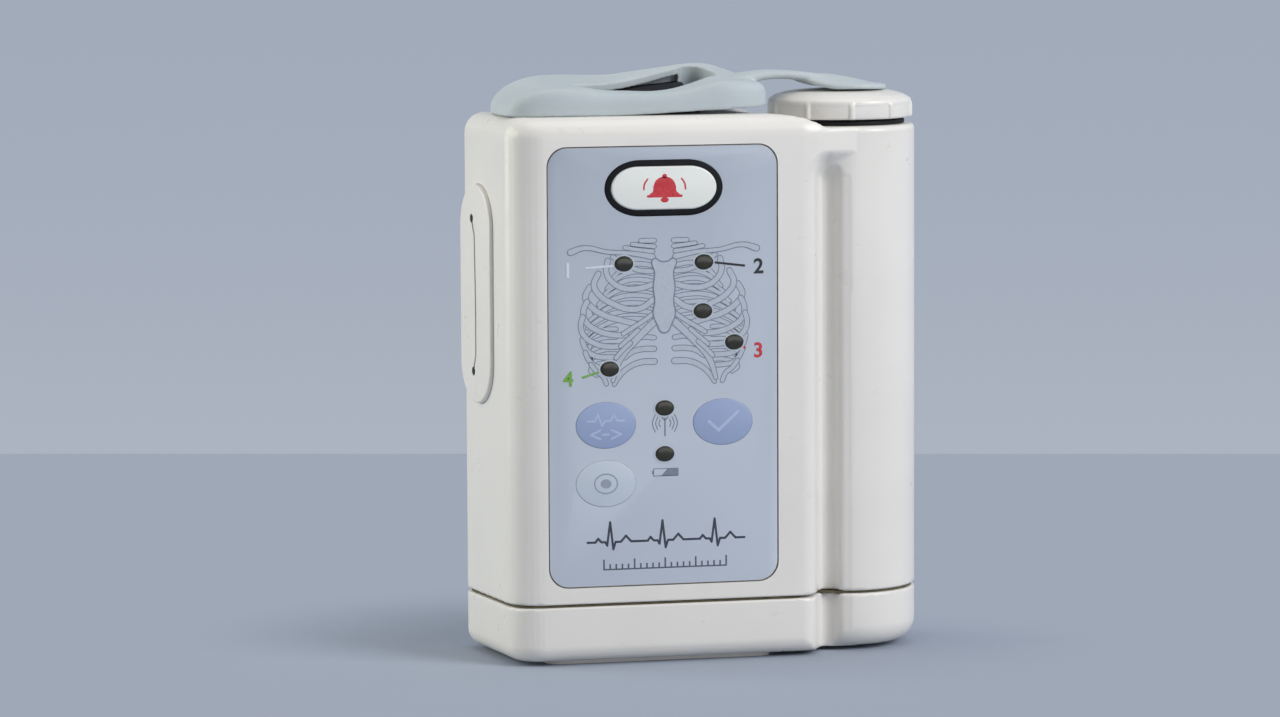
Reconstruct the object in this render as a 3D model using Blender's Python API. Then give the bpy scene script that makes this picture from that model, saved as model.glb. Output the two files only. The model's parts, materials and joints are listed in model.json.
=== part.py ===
# A worn patient monitor pack: a rounded plastic case with a front keypad, a round battery bay
# with a screw cap, and a rubber boot over the lead socket.
# Z is up, the front looks along -Y, and the origin is the middle of the foot it stands on.

import bmesh
import bpy
from math import atan2, cos, pi, radians, sin, tan
from mathutils import Matrix, Vector

MM = 0.001

# Clearances
SEAT_GAP = 0.3 * MM  # between a piece and what carries it
SLIP_GAP = 0.3 * MM  # round a piece that moves in a hole
SEAL_GAP = 0.1 * MM  # over and under the case gasket
OVERRUN = 1.0 * MM  # how far a cutter passes through a face
MERGE = 0.0001 * MM  # points nearer than this are one point

# Case
CASE_DEPTH = 35.2 * MM
CASE_HALF_FRONT = 31.7 * MM  # origin to the sharp front left corner
CASE_TOP = 113.0 * MM
CASE_BASE = 0.8 * MM  # the foot it stands on is this much lower
FOOT_LENGTH = 48.0 * MM
FOOT_WIDTH = 27.0 * MM
FOOT_RADIUS = 3.0 * MM
CASE_WALL = 2.6 * MM
SIDE_SLANT = radians(6.8)  # the left side leans out towards the back
FRONT_RADIUS = 6.3 * MM
BACK_RADIUS = 6.0 * MM
TOP_ROUNDING = 4.2 * MM
BASE_ROUNDING = 3.4 * MM
SEAM_HEIGHT = 12.3 * MM  # top edge of the bottom cover
SEAM_WIDTH = 0.5 * MM
CAVITY_RIGHT = 27.0 * MM
CAVITY_RADIUS = 3.0 * MM

# Battery bay
BAY_X = 43.0 * MM
BAY_SETBACK = 3.8 * MM  # front of the bay behind the front face
BAY_RADIUS = 15.7 * MM
BAY_ROUNDING = 1.1 * MM
BAY_BASE_ROUNDING = 4.6 * MM
SHOULDER_HEIGHT = 110.0 * MM
WELL_RADIUS = 16.3 * MM
WELL_EDGE_REACH = 4.6 * MM
GROOVE_START = 29.6 * MM
GROOVE_RUN = 4.0 * MM
GROOVE_DEPTH = 7.0 * MM
GROOVE_EDGE_RADIUS = 2.2 * MM
GROOVE_TOP = 106.4 * MM
GROOVE_TOP_FALL = 3.6 * MM
BRIDGE_START = 30.5 * MM
BRIDGE_RADIUS = 9.0 * MM

# Battery, its tube and its cap
CELL_RADIUS = 7.1 * MM
CELL_LENGTH = 50.2 * MM
CELL_TIP_RADIUS = 2.7 * MM
CELL_TIP_HEIGHT = 1.0 * MM
CELL_EDGE = 0.6 * MM
TUBE_BORE_RADIUS = 7.5 * MM
TUBE_WALL = 1.4 * MM
TUBE_BOTTOM = 3.7 * MM
TUBE_FLOOR = 1.2 * MM
NECK_RADIUS = 10.8 * MM
NECK_TOP = 114.0 * MM
TUBE_FLANGE_RADIUS = 12.4 * MM
TUBE_FLANGE_HEIGHT = 1.6 * MM
SPRING_WIRE = 0.7 * MM
SPRING_RADIUS = 4.6 * MM
SPRING_TOP_RADIUS = 2.4 * MM
SPRING_TURNS = 3
SPRING_STEPS = 10
TERMINAL_RADIUS = 6.2 * MM
TERMINAL_THICKNESS = 0.5 * MM
SEAL_RADIUS = 13.6 * MM
SEAL_WIDTH = 2.3 * MM
SEAL_HEIGHT = 1.0 * MM
CAP_RADIUS = 15.4 * MM
CAP_BOTTOM = 111.5 * MM
CAP_WALL_TOP = 113.2 * MM
CAP_TOP = 117.0 * MM
CAP_ROOF = 1.7 * MM
CAP_FLUTES = 10
CAP_FLUTE_DEPTH = 0.55 * MM
CAP_RIDGE_ANGLE = radians(-94.7)
CAP_BORE_RADIUS = 11.1 * MM
# Points of the cap's dome, shares of: its radius, its height over the straight wall
CAP_DOME_SHARES = ((0.965, 0.36), (0.87, 0.66), (0.74, 0.88), (0.58, 1.0))
PLUNGER_RADIUS = 2.2 * MM

# Tether
BUTTON_RADIUS = 9.8 * MM
BUTTON_THICKNESS = 1.3 * MM
BUTTON_GAP = 0.4 * MM
STEM_RADIUS = 2.0 * MM
STEM_LENGTH = 1.4 * MM
STRAP_WIDTH = 9.0 * MM
STRAP_THICKNESS = 2.2 * MM
STRAP_RISE = 1.9 * MM  # top of the arch over the top of the button
STRAP_FALL = 0.7 * MM

# Lead boot and socket
BOOT_LEFT = -33.4 * MM
BOOT_RIGHT = 24.2 * MM
BOOT_FRONT = -12.4 * MM
BOOT_BACK = 12.4 * MM
BOOT_HEIGHT = 9.6 * MM  # peak of the back rim over the case top
BOOT_LIFT = 1.2 * MM  # how far its right end stands off the case
EYE_LEFT = -15.0 * MM
EYE_RIGHT = 14.0 * MM
EYE_HALF_WIDTH = 5.9 * MM
BOOT_LIFT_START_SHARE = 0.37
BOOT_SQUARENESS_SHARE = 0.45
# From left to right, shares of: the boot's length, its height in front, its height at the back, its width
BOOT_PROFILE_SHARES = (
    (0.0, 0.10, 0.10, 0.42), (0.03, 0.31, 0.33, 0.72), (0.07, 0.50, 0.53, 0.87), (0.12, 0.62, 0.66, 0.96),
    (0.20, 0.67, 0.74, 1.0), (0.30, 0.65, 0.74, 1.0), (0.41, 0.56, 0.745, 1.0), (0.51, 0.51, 0.83, 1.0),
    (0.66, 0.55, 0.96, 1.0), (0.76, 0.68, 1.0, 1.0), (0.83, 0.78, 0.99, 1.0), (0.885, 0.81, 0.91, 1.0),
    (0.94, 0.79, 0.85, 0.97), (1.0, 0.70, 0.74, 0.86),
)
SOCKET_LENGTH = 20.0 * MM
SOCKET_WIDTH = 8.0 * MM
SOCKET_TOP = 116.2 * MM
SOCKET_SLOT_LENGTH = 16.0 * MM
SOCKET_SLOT_WIDTH = 3.0 * MM
SOCKET_SLOT_DEPTH = 5.0 * MM
SOCKET_FOOT_LENGTH = 16.0 * MM
SOCKET_FOOT_WIDTH = 6.0 * MM
SOCKET_FOOT_BOTTOM = 107.5 * MM
CONTACT_COUNT = 5
CONTACT_PITCH = 3.0 * MM
CONTACT_WIDTH = 1.0 * MM
CONTACT_THICKNESS = 0.6 * MM
CONTACT_TOP_DROP = 1.2 * MM

# Front overlay, keys and lamps
OVERLAY_WIDTH = 48.2 * MM
OVERLAY_BOTTOM = 16.4 * MM
OVERLAY_TOP = 107.0 * MM
OVERLAY_RADIUS = 4.2 * MM
OVERLAY_THICKNESS = 0.8 * MM
OVERLAY_INSET = 0.15 * MM
CALL_Z = 98.4 * MM
CALL_LENGTH = 22.3 * MM
CALL_HEIGHT = 8.9 * MM
CALL_PROUD = 0.45 * MM
CALL_RING_WIDTH = 1.3 * MM
KEY_LENGTH = 12.7 * MM
KEY_HEIGHT = 9.6 * MM
KEY_PROUD = 0.1 * MM
KEY_TRAVEL = 0.4 * MM
KEY_FLANGE = 0.9 * MM
KEY_FLANGE_THICKNESS = 0.8 * MM
KEY_STEM_RADIUS = 1.5 * MM
KEY_PLACES = {
    "lead_select_key": (-12.45 * MM, 49.8 * MM),
    "check_key": (12.35 * MM, 49.8 * MM),
    "record_key": (-12.5 * MM, 37.7 * MM),
}
LAMP_LENGTH = 3.9 * MM
LAMP_HEIGHT = 3.1 * MM
LAMP_PLACES = {
    "upper_left": (-8.5 * MM, 82.95 * MM),
    "upper_right": (8.45 * MM, 82.95 * MM),
    "chest": (8.2 * MM, 72.85 * MM),
    "lower_right": (14.85 * MM, 66.25 * MM),
    "lower_left": (-11.6 * MM, 61.4 * MM),
    "signal": (0.0, 53.0 * MM),
    "battery": (0.0, 43.5 * MM),
}
LED_SIZE = 1.6 * MM
LED_HEIGHT = 0.8 * MM
LED_GAP = 0.5 * MM

# Circuit board
BOARD_SETBACK = 6.1 * MM  # front of the board behind the front face
BOARD_THICKNESS = 1.6 * MM
BOARD_WIDTH = 48.0 * MM
BOARD_BOTTOM = 17.0 * MM
BOARD_TOP = 106.0 * MM
BOARD_RADIUS = 1.5 * MM
DOME_RADIUS = 2.6 * MM
DOME_HEIGHT = 0.7 * MM
DOME_SHARES = (0, 0.55, 0.85)  # rings of a dome, as shares of the turn from its foot to its top
SHIELD_LENGTH = 30.0 * MM
SHIELD_HEIGHT = 34.0 * MM
SHIELD_THICKNESS = 3.0 * MM
SHIELD_BOTTOM = 58.0 * MM
ANTENNA_WIDTH = 4.0 * MM
ANTENNA_THICKNESS = 0.6 * MM
ANTENNA_LENGTH = 36.0 * MM
ANTENNA_LEG = 4.5 * MM
ANTENNA_BOTTOM = 98.5 * MM
BOSS_RADIUS = 2.4 * MM
BOSS_X = 20.5 * MM
BOSS_ZS = (21.0 * MM, 90.0 * MM)
SCREW_RADIUS = 1.0 * MM
SCREW_HEAD_RADIUS = 2.0 * MM
SCREW_HEAD_HEIGHT = 1.2 * MM

# Cover screws, driven up through the base
COVER_SCREW_X = 19.0 * MM
COVER_SCREW_Y = 8.0 * MM
COVER_SCREW_RADIUS = 1.2 * MM
COVER_SCREW_HEAD_RADIUS = 2.3 * MM
COVER_SCREW_HEAD_HEIGHT = 1.4 * MM
COVER_SCREW_SINK = 0.5 * MM
COVER_SCREW_LENGTH = 15.0 * MM
COVER_POST_RADIUS = 3.1 * MM
COVER_POST_FOOT = 13.6 * MM  # bottom of the posts in the case
COVER_POST_TOP = 16.4 * MM

# Side door
DOOR_MIDDLE = 20.8 * MM  # along the slanted side, from the sharp front corner
DOOR_HALF_WIDTH = 9.45 * MM
DOOR_BOTTOM = 52.9 * MM
DOOR_TOP = 98.5 * MM
DOOR_PROUD = 1.0 * MM
DOOR_THICKNESS = 1.8 * MM
DOOR_SPLIT = 0.3 * MM
DOOR_HOLE_RADIUS = 0.8 * MM
DOOR_HOLE_ZS = (59.4 * MM, 91.4 * MM)
PORT_LENGTH = 22.0 * MM
PORT_DEPTH = 5.0 * MM
PORT_WIDTH = 6.4 * MM
PORT_SLOT_LENGTH = 17.0 * MM
PORT_SLOT_WIDTH = 2.6 * MM
PORT_SLOT_DEPTH = 3.0 * MM
PORT_OFFSET = 4.6 * MM  # port's middle in front of the door's fold

# Smoothness
CORNER_STEPS = 5
BAY_STEPS = 48
ROUND_STEPS = 32
SMALL_STEPS = 16
KEY_STEPS = 24
CELL_STEPS = 24
LAMP_STEPS = 12
HOLE_STEPS = 12
SHANK_STEPS = 10
END_STEPS = 10
DOOR_STEPS = 16
WELL_STEPS = 4
TOP_ROUNDING_STEPS = 4
BASE_ROUNDING_STEPS = 3
BAY_ROUNDING_STEPS = 3
STRAP_STEPS = 8
FLUTE_STEPS = 4
SMOOTH_ANGLE = radians(35)

# Worked out from the sizes above
FRONT_Y = -CASE_DEPTH / 2
BACK_Y = CASE_DEPTH / 2
BAY_Y = FRONT_Y + BAY_SETBACK + BAY_RADIUS
BACK_LEFT_X = -CASE_HALF_FRONT - CASE_DEPTH * tan(SIDE_SLANT)
INNER_FRONT_Y = FRONT_Y + CASE_WALL
HOUSING_BOTTOM = SEAM_HEIGHT + SEAM_WIDTH
POCKET_DEPTH = OVERLAY_INSET + OVERLAY_THICKNESS + SEAT_GAP
BOARD_Y = FRONT_Y + BOARD_SETBACK
OVERLAY_Y = FRONT_Y + OVERLAY_INSET
BUTTON_BOTTOM = CAP_TOP + BUTTON_GAP
BUTTON_TOP = BUTTON_BOTTOM + BUTTON_THICKNESS
BAY_CENTRE = (BAY_X, BAY_Y)
COVER_SCREW_PLACES = [
    (x, y) for x in (-COVER_SCREW_X, COVER_SCREW_X) for y in (-COVER_SCREW_Y, COVER_SCREW_Y)
]
BOSS_PLACES = [(x, z) for x in (-BOSS_X, BOSS_X) for z in BOSS_ZS]


def material(name, colour, roughness, metallic=0.0):
    made = bpy.data.materials.new(name)
    made.use_nodes = True
    shader = made.node_tree.nodes["Principled BSDF"]
    shader.inputs["Base Color"].default_value = (*colour, 1)
    shader.inputs["Roughness"].default_value = roughness
    shader.inputs["Metallic"].default_value = metallic
    return made


def materials():
    return {
        "case": material("case_plastic", (0.66, 0.67, 0.64), 0.3),
        "overlay": material("overlay_film", (0.36, 0.42, 0.53), 0.45),
        "call_white": material("call_key_plastic", (0.68, 0.69, 0.68), 0.3),
        "black": material("black_plastic", (0.01, 0.012, 0.015), 0.35),
        "key_blue": material("key_blue_film", (0.24, 0.31, 0.5), 0.45),
        "key_pale": material("key_pale_film", (0.43, 0.48, 0.57), 0.45),
        "lamp": material("smoked_lens", (0.04, 0.042, 0.042), 0.2),
        "rubber": material("boot_rubber", (0.42, 0.5, 0.54), 0.5),
        "seal": material("seal_rubber", (0.012, 0.012, 0.012), 0.6),
        "gasket": material("gasket_rubber", (0.09, 0.085, 0.05), 0.7),
        "board": material("board_laminate", (0.02, 0.16, 0.06), 0.5),
        "steel": material("steel", (0.56, 0.57, 0.58), 0.35, 1.0),
        "brass": material("plated_brass", (0.8, 0.6, 0.25), 0.3, 1.0),
        "cell": material("cell_sleeve", (0.03, 0.05, 0.12), 0.35),
    }


def add_object(name, bm, surface):
    """Puts a bmesh into the scene as one named object with its faces turned outwards."""
    bmesh.ops.remove_doubles(bm, verts=bm.verts, dist=MERGE)
    bmesh.ops.recalc_face_normals(bm, faces=bm.faces)
    mesh = bpy.data.meshes.new(name)
    bm.to_mesh(mesh)
    bm.free()
    mesh.materials.append(surface)
    mesh.shade_smooth()
    mesh.set_sharp_from_angle(angle=SMOOTH_ANGLE)
    made = bpy.data.objects.new(name, mesh)
    bpy.context.scene.collection.objects.link(made)
    return made


def helper(name, bm):
    """A cutter or a shape that a Boolean joins: not a piece of the object."""
    bmesh.ops.remove_doubles(bm, verts=bm.verts, dist=MERGE)
    bmesh.ops.recalc_face_normals(bm, faces=bm.faces)
    mesh = bpy.data.meshes.new(name)
    bm.to_mesh(mesh)
    bm.free()
    made = bpy.data.objects.new(name, mesh)
    made.hide_render = True
    made.display_type = "WIRE"
    bpy.context.scene.collection.objects.link(made)
    return made


def boolean(target, other, operation):
    added = target.modifiers.new(other.name, "BOOLEAN")
    added.operation = operation
    added.object = other
    added.solver = "EXACT"


def arc(centre, radius, start, end, steps):
    angles = [start + (end - start) * i / steps for i in range(steps + 1)]
    return [(centre[0] + radius * cos(angle), centre[1] + radius * sin(angle)) for angle in angles]


def filleted(corners, steps=CORNER_STEPS):
    """The points of a polygon given as (x, y, radius), each corner rounded by its radius."""
    points = []
    for i, (x, y, radius) in enumerate(corners):
        here = Vector((x, y))
        if radius == 0:
            points.append((x, y))
            continue
        before = (Vector(corners[i - 1][:2]) - here).normalized()
        after = (Vector(corners[(i + 1) % len(corners)][:2]) - here).normalized()
        half = before.angle(after) / 2
        centre = here + (before + after).normalized() * radius / sin(half)
        first = here + before * radius / tan(half) - centre
        last = here + after * radius / tan(half) - centre
        start = atan2(first.y, first.x)
        turn = (atan2(last.y, last.x) - start + pi) % (2 * pi) - pi
        points += arc(centre, radius, start, start + turn, steps)
    return points


def prism(points, low, high, bm=None):
    """A polygon in the ground plane, raised from low to high."""
    bm = bm or bmesh.new()
    base = bm.faces.new([bm.verts.new((x, y, low)) for x, y in points])
    raised = bmesh.ops.extrude_face_region(bm, geom=[base])
    top = [v for v in raised["geom"] if isinstance(v, bmesh.types.BMVert)]
    bmesh.ops.translate(bm, verts=top, vec=(0, 0, high - low))
    return bm


def front_prism(points, near, far, bm=None):
    """A polygon seen from the front, as (x, z), pushed along Y from near to far."""
    bm = bm or bmesh.new()
    base = bm.faces.new([bm.verts.new((x, near, z)) for x, z in points])
    pushed = bmesh.ops.extrude_face_region(bm, geom=[base])
    back = [v for v in pushed["geom"] if isinstance(v, bmesh.types.BMVert)]
    bmesh.ops.translate(bm, verts=back, vec=(0, far - near, 0))
    return bm


def block(low, high, bm=None):
    corners = [(low[0], low[1]), (high[0], low[1]), (high[0], high[1]), (low[0], high[1])]
    return prism(corners, low[2], high[2], bm)


def turned(profile, centre, steps=ROUND_STEPS, bm=None):
    """A closed profile of (radius, z) points, turned round the vertical line through centre."""
    bm = bm or bmesh.new()
    verts = [bm.verts.new((centre[0] + r, centre[1], z)) for r, z in profile]
    edges = [bm.edges.new((a, b)) for a, b in zip(verts, verts[1:] + verts[:1])]
    bmesh.ops.spin(
        bm, geom=verts + edges, cent=(*centre, 0), axis=(0, 0, 1), angle=2 * pi, steps=steps, use_merge=True
    )
    bmesh.ops.remove_doubles(bm, verts=bm.verts, dist=MERGE)
    bmesh.ops.dissolve_degenerate(bm, edges=bm.edges, dist=MERGE)
    loose = [e for e in bm.edges if not e.link_faces]
    bmesh.ops.delete(bm, geom=loose, context="EDGES")
    return bm


def round_bar(radius, low, high, centre, steps=SMALL_STEPS, bm=None):
    return turned([(0, low), (radius, low), (radius, high), (0, high)], centre, steps, bm)


def ellipse(x, z, length, height, steps=SMALL_STEPS):
    angles = [2 * pi * i / steps for i in range(steps)]
    return [(x + length / 2 * cos(angle), z + height / 2 * sin(angle)) for angle in angles]


def stadium(x, z, length, height, steps=END_STEPS):
    """A bar with round ends, the longer side along x."""
    radius = height / 2
    reach = length / 2 - radius
    right = arc((x + reach, z), radius, -pi / 2, pi / 2, steps)
    return right + arc((x - reach, z), radius, pi / 2, 3 * pi / 2, steps)


def rounded_box(x, z, length, height, radius):
    left, right, low, high = x - length / 2, x + length / 2, z - height / 2, z + height / 2
    corners = [(left, low), (right, low), (right, high), (left, high)]
    return filleted([(*corner, radius) for corner in corners])


def case_corners(inset=0.0):
    """The case block in plan, sharp cornered on the right where the battery bay takes over."""
    left_shift = inset / cos(SIDE_SLANT) + inset * tan(SIDE_SLANT)
    back_shift = inset / cos(SIDE_SLANT) - inset * tan(SIDE_SLANT)
    return (
        (-CASE_HALF_FRONT + left_shift, FRONT_Y + inset, FRONT_RADIUS - inset),
        (BACK_LEFT_X + back_shift, BACK_Y - inset, BACK_RADIUS - inset),
    )


def case_outline():
    front_left, back_left = case_corners()
    bridge_y = BAY_Y - BAY_RADIUS + SEAT_GAP
    bridge = (BRIDGE_START, FRONT_Y, BRIDGE_RADIUS)
    return filleted([front_left, bridge, (BAY_X, bridge_y, 0), (BAY_X, BACK_Y, 0), back_left])


def rounded_rim(bm, height, rounding, steps):
    """Rounds the edges that lie at one height, except across the battery bay, where the block is cut away."""
    rim = [
        e for e in bm.edges
        if all(abs(v.co.z - height) < SEAL_GAP for v in e.verts)
        and not all(abs(v.co.x - BAY_X) < SEAL_GAP for v in e.verts)
    ]
    bmesh.ops.bevel(
        bm, geom=rim, offset=rounding, offset_type="OFFSET", affect="EDGES",
        segments=steps, profile=0.5, material=-1, clamp_overlap=False,
    )


def groove_prism(low, high, fall):
    """The groove between the flat front and the round battery bay."""
    slope = atan2(GROOVE_DEPTH, GROOVE_RUN)
    lead_in = GROOVE_EDGE_RADIUS * tan(slope / 2)
    edge_centre = (GROOVE_START - lead_in, FRONT_Y + GROOVE_EDGE_RADIUS)
    edge = arc(edge_centre, GROOVE_EDGE_RADIUS, -pi / 2, -pi / 2 + slope, CORNER_STEPS)
    deep = (GROOVE_START + GROOVE_RUN, FRONT_Y + GROOVE_DEPTH)
    far_side = [deep, (BAY_X + OVERRUN, deep[1]), (BAY_X + OVERRUN, FRONT_Y - OVERRUN)]
    points = [(GROOVE_START - lead_in, FRONT_Y - OVERRUN)] + edge + far_side
    bm = prism(points, low, high)
    for v in bm.verts:
        if v.co.z > (low + high) / 2:
            v.co.z -= fall * (v.co.y - FRONT_Y + OVERRUN) / (GROOVE_DEPTH + OVERRUN)
    return bm


def inner_outline(inset, right):
    """The case block in plan, moved in by inset and squared off at its right."""
    front_left, back_left = case_corners(inset)
    front_right = (right, front_left[1], CAVITY_RADIUS)
    back_right = (right, back_left[1], CAVITY_RADIUS)
    return filleted([front_left, front_right, back_right, back_left])


def cavity(low, high):
    return prism(inner_outline(CASE_WALL, CAVITY_RIGHT), low, high)


def side_frame():
    """Turns (along the side, out of the side, up) into the object's frame."""
    along = Vector((-sin(SIDE_SLANT), cos(SIDE_SLANT), 0))
    out = Vector((-cos(SIDE_SLANT), -sin(SIDE_SLANT), 0))
    up = Vector((0, 0, 1))
    frame = Matrix((along, out, up)).transposed().to_4x4()
    frame.translation = Vector((-CASE_HALF_FRONT, FRONT_Y, 0))
    return frame


def door_outline(half_width, low, high):
    upper = arc((DOOR_MIDDLE, high - half_width), half_width, 0, pi, DOOR_STEPS)
    lower = arc((DOOR_MIDDLE, low + half_width), half_width, pi, 2 * pi, DOOR_STEPS)
    return upper + lower


def side_solid(points, inner, outer):
    """A polygon in the plane of the slanted side, as (along, z), from one depth to another."""
    bm = front_prism(points, inner, outer)
    bmesh.ops.transform(bm, matrix=side_frame(), verts=bm.verts)
    return bm


def port_outline(length, width):
    return rounded_box(DOOR_MIDDLE - PORT_OFFSET, (DOOR_BOTTOM + DOOR_TOP) / 2, width, length, width / 3)


def lamp_holes():
    length, height = LAMP_LENGTH + 2 * SEAT_GAP, LAMP_HEIGHT + 2 * SEAT_GAP
    return [ellipse(x, z, length, height, LAMP_STEPS) for x, z in LAMP_PLACES.values()]


def key_holes():
    length, height = KEY_LENGTH + 2 * SLIP_GAP, KEY_HEIGHT + 2 * SLIP_GAP
    return [ellipse(x, z, length, height, KEY_STEPS) for x, z in KEY_PLACES.values()]


def make_housing(surfaces):
    body = prism(case_outline(), HOUSING_BOTTOM, CASE_TOP)
    rounded_rim(body, CASE_TOP, TOP_ROUNDING, TOP_ROUNDING_STEPS)
    housing = add_object("main_housing", body, surfaces["case"])
    groove = groove_prism(HOUSING_BOTTOM - OVERRUN, GROOVE_TOP, GROOVE_TOP_FALL)
    boolean(housing, helper("groove_cut", groove), "DIFFERENCE")
    edge = (BAY_RADIUS - BAY_ROUNDING, SHOULDER_HEIGHT - BAY_ROUNDING)
    bay = turned(
        [(0, HOUSING_BOTTOM), (BAY_RADIUS, HOUSING_BOTTOM)]
        + arc(edge, BAY_ROUNDING, 0, pi / 2, BAY_ROUNDING_STEPS)
        + [(0, SHOULDER_HEIGHT)],
        BAY_CENTRE, BAY_STEPS,
    )
    boolean(housing, helper("bay_join", bay), "UNION")
    step = CASE_TOP - SHOULDER_HEIGHT
    rim = WELL_RADIUS + WELL_EDGE_REACH
    angles = [pi / 2 * i / WELL_STEPS for i in range(WELL_STEPS + 1)]
    edge = [(rim - WELL_EDGE_REACH * cos(angle), SHOULDER_HEIGHT + step * sin(angle)) for angle in angles]
    above = [(rim, CASE_TOP + OVERRUN), (0, CASE_TOP + OVERRUN)]
    well = turned([(0, SHOULDER_HEIGHT)] + edge + above, BAY_CENTRE, BAY_STEPS)
    boolean(housing, helper("cap_well_cut", well), "DIFFERENCE")
    hollow = cavity(HOUSING_BOTTOM - OVERRUN, CASE_TOP - CASE_WALL)
    boolean(housing, helper("cavity_cut", hollow), "DIFFERENCE")
    bore = turned(
        [
            (0, HOUSING_BOTTOM - OVERRUN),
            (BAY_RADIUS - CASE_WALL, HOUSING_BOTTOM - OVERRUN),
            (BAY_RADIUS - CASE_WALL, SHOULDER_HEIGHT - CASE_WALL),
            (NECK_RADIUS + SEAT_GAP, SHOULDER_HEIGHT - CASE_WALL),
            (NECK_RADIUS + SEAT_GAP, SHOULDER_HEIGHT + OVERRUN), (0, SHOULDER_HEIGHT + OVERRUN),
        ],
        BAY_CENTRE,
    )
    boolean(housing, helper("bay_bore_cut", bore), "DIFFERENCE")
    pocket = rounded_box(
        0, (OVERLAY_BOTTOM + OVERLAY_TOP) / 2, OVERLAY_WIDTH + 2 * SEAT_GAP,
        OVERLAY_TOP - OVERLAY_BOTTOM + 2 * SEAT_GAP, OVERLAY_RADIUS + SEAT_GAP,
    )
    pocket = front_prism(pocket, FRONT_Y - OVERRUN, FRONT_Y + POCKET_DEPTH)
    boolean(housing, helper("overlay_pocket_cut", pocket), "DIFFERENCE")
    holes = bmesh.new()
    call_hole = stadium(0, CALL_Z, CALL_LENGTH + 2 * SLIP_GAP, CALL_HEIGHT + 2 * SLIP_GAP)
    for outline in lamp_holes() + key_holes() + [call_hole]:
        front_prism(outline, FRONT_Y, INNER_FRONT_Y + OVERRUN, holes)
    boolean(housing, helper("front_holes_cut", holes), "DIFFERENCE")
    half_length, half_width = SOCKET_FOOT_LENGTH / 2 + SEAT_GAP, SOCKET_FOOT_WIDTH / 2 + SEAT_GAP
    low, high = CASE_TOP - CASE_WALL - OVERRUN, CASE_TOP + OVERRUN
    socket_hole = block((-half_length, -half_width, low), (half_length, half_width, high))
    boolean(housing, helper("socket_hole_cut", socket_hole), "DIFFERENCE")
    door_pocket = side_solid(
        door_outline(DOOR_HALF_WIDTH + SEAT_GAP, DOOR_BOTTOM - SEAT_GAP, DOOR_TOP + SEAT_GAP),
        DOOR_PROUD - DOOR_THICKNESS - SEAT_GAP, OVERRUN * 2,
    )
    boolean(housing, helper("door_pocket_cut", door_pocket), "DIFFERENCE")
    port_hole = side_solid(
        port_outline(PORT_LENGTH + 2 * SEAT_GAP, PORT_WIDTH + 2 * SEAT_GAP), -CASE_WALL - OVERRUN, OVERRUN
    )
    boolean(housing, helper("port_hole_cut", port_hole), "DIFFERENCE")
    posts = bmesh.new()
    for x, z in BOSS_PLACES:
        post = ellipse(x, z, 2 * BOSS_RADIUS, 2 * BOSS_RADIUS, HOLE_STEPS)
        front_prism(post, INNER_FRONT_Y - CASE_WALL / 4, BOARD_Y - SEAT_GAP, posts)
    for x, y in COVER_SCREW_PLACES:
        low = y - COVER_POST_RADIUS if y > 0 else INNER_FRONT_Y - CASE_WALL / 4
        high = BACK_Y - CASE_WALL / 2 if y > 0 else y + COVER_POST_RADIUS
        left, right = x - COVER_POST_RADIUS, x + COVER_POST_RADIUS
        block((left, low, COVER_POST_FOOT), (right, high, COVER_POST_TOP), posts)
    boolean(housing, helper("posts_join", posts), "UNION")
    pilots = bmesh.new()
    size = 2 * (SCREW_RADIUS + SEAT_GAP)
    for x, z in BOSS_PLACES:
        front_prism(ellipse(x, z, size, size, HOLE_STEPS), INNER_FRONT_Y, BOARD_Y, pilots)
    for place in COVER_SCREW_PLACES:
        radius, top = COVER_SCREW_RADIUS + SEAT_GAP, COVER_POST_TOP + OVERRUN
        round_bar(radius, HOUSING_BOTTOM, top, place, HOLE_STEPS, pilots)
    boolean(housing, helper("pilot_holes_cut", pilots), "DIFFERENCE")
    return housing


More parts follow.
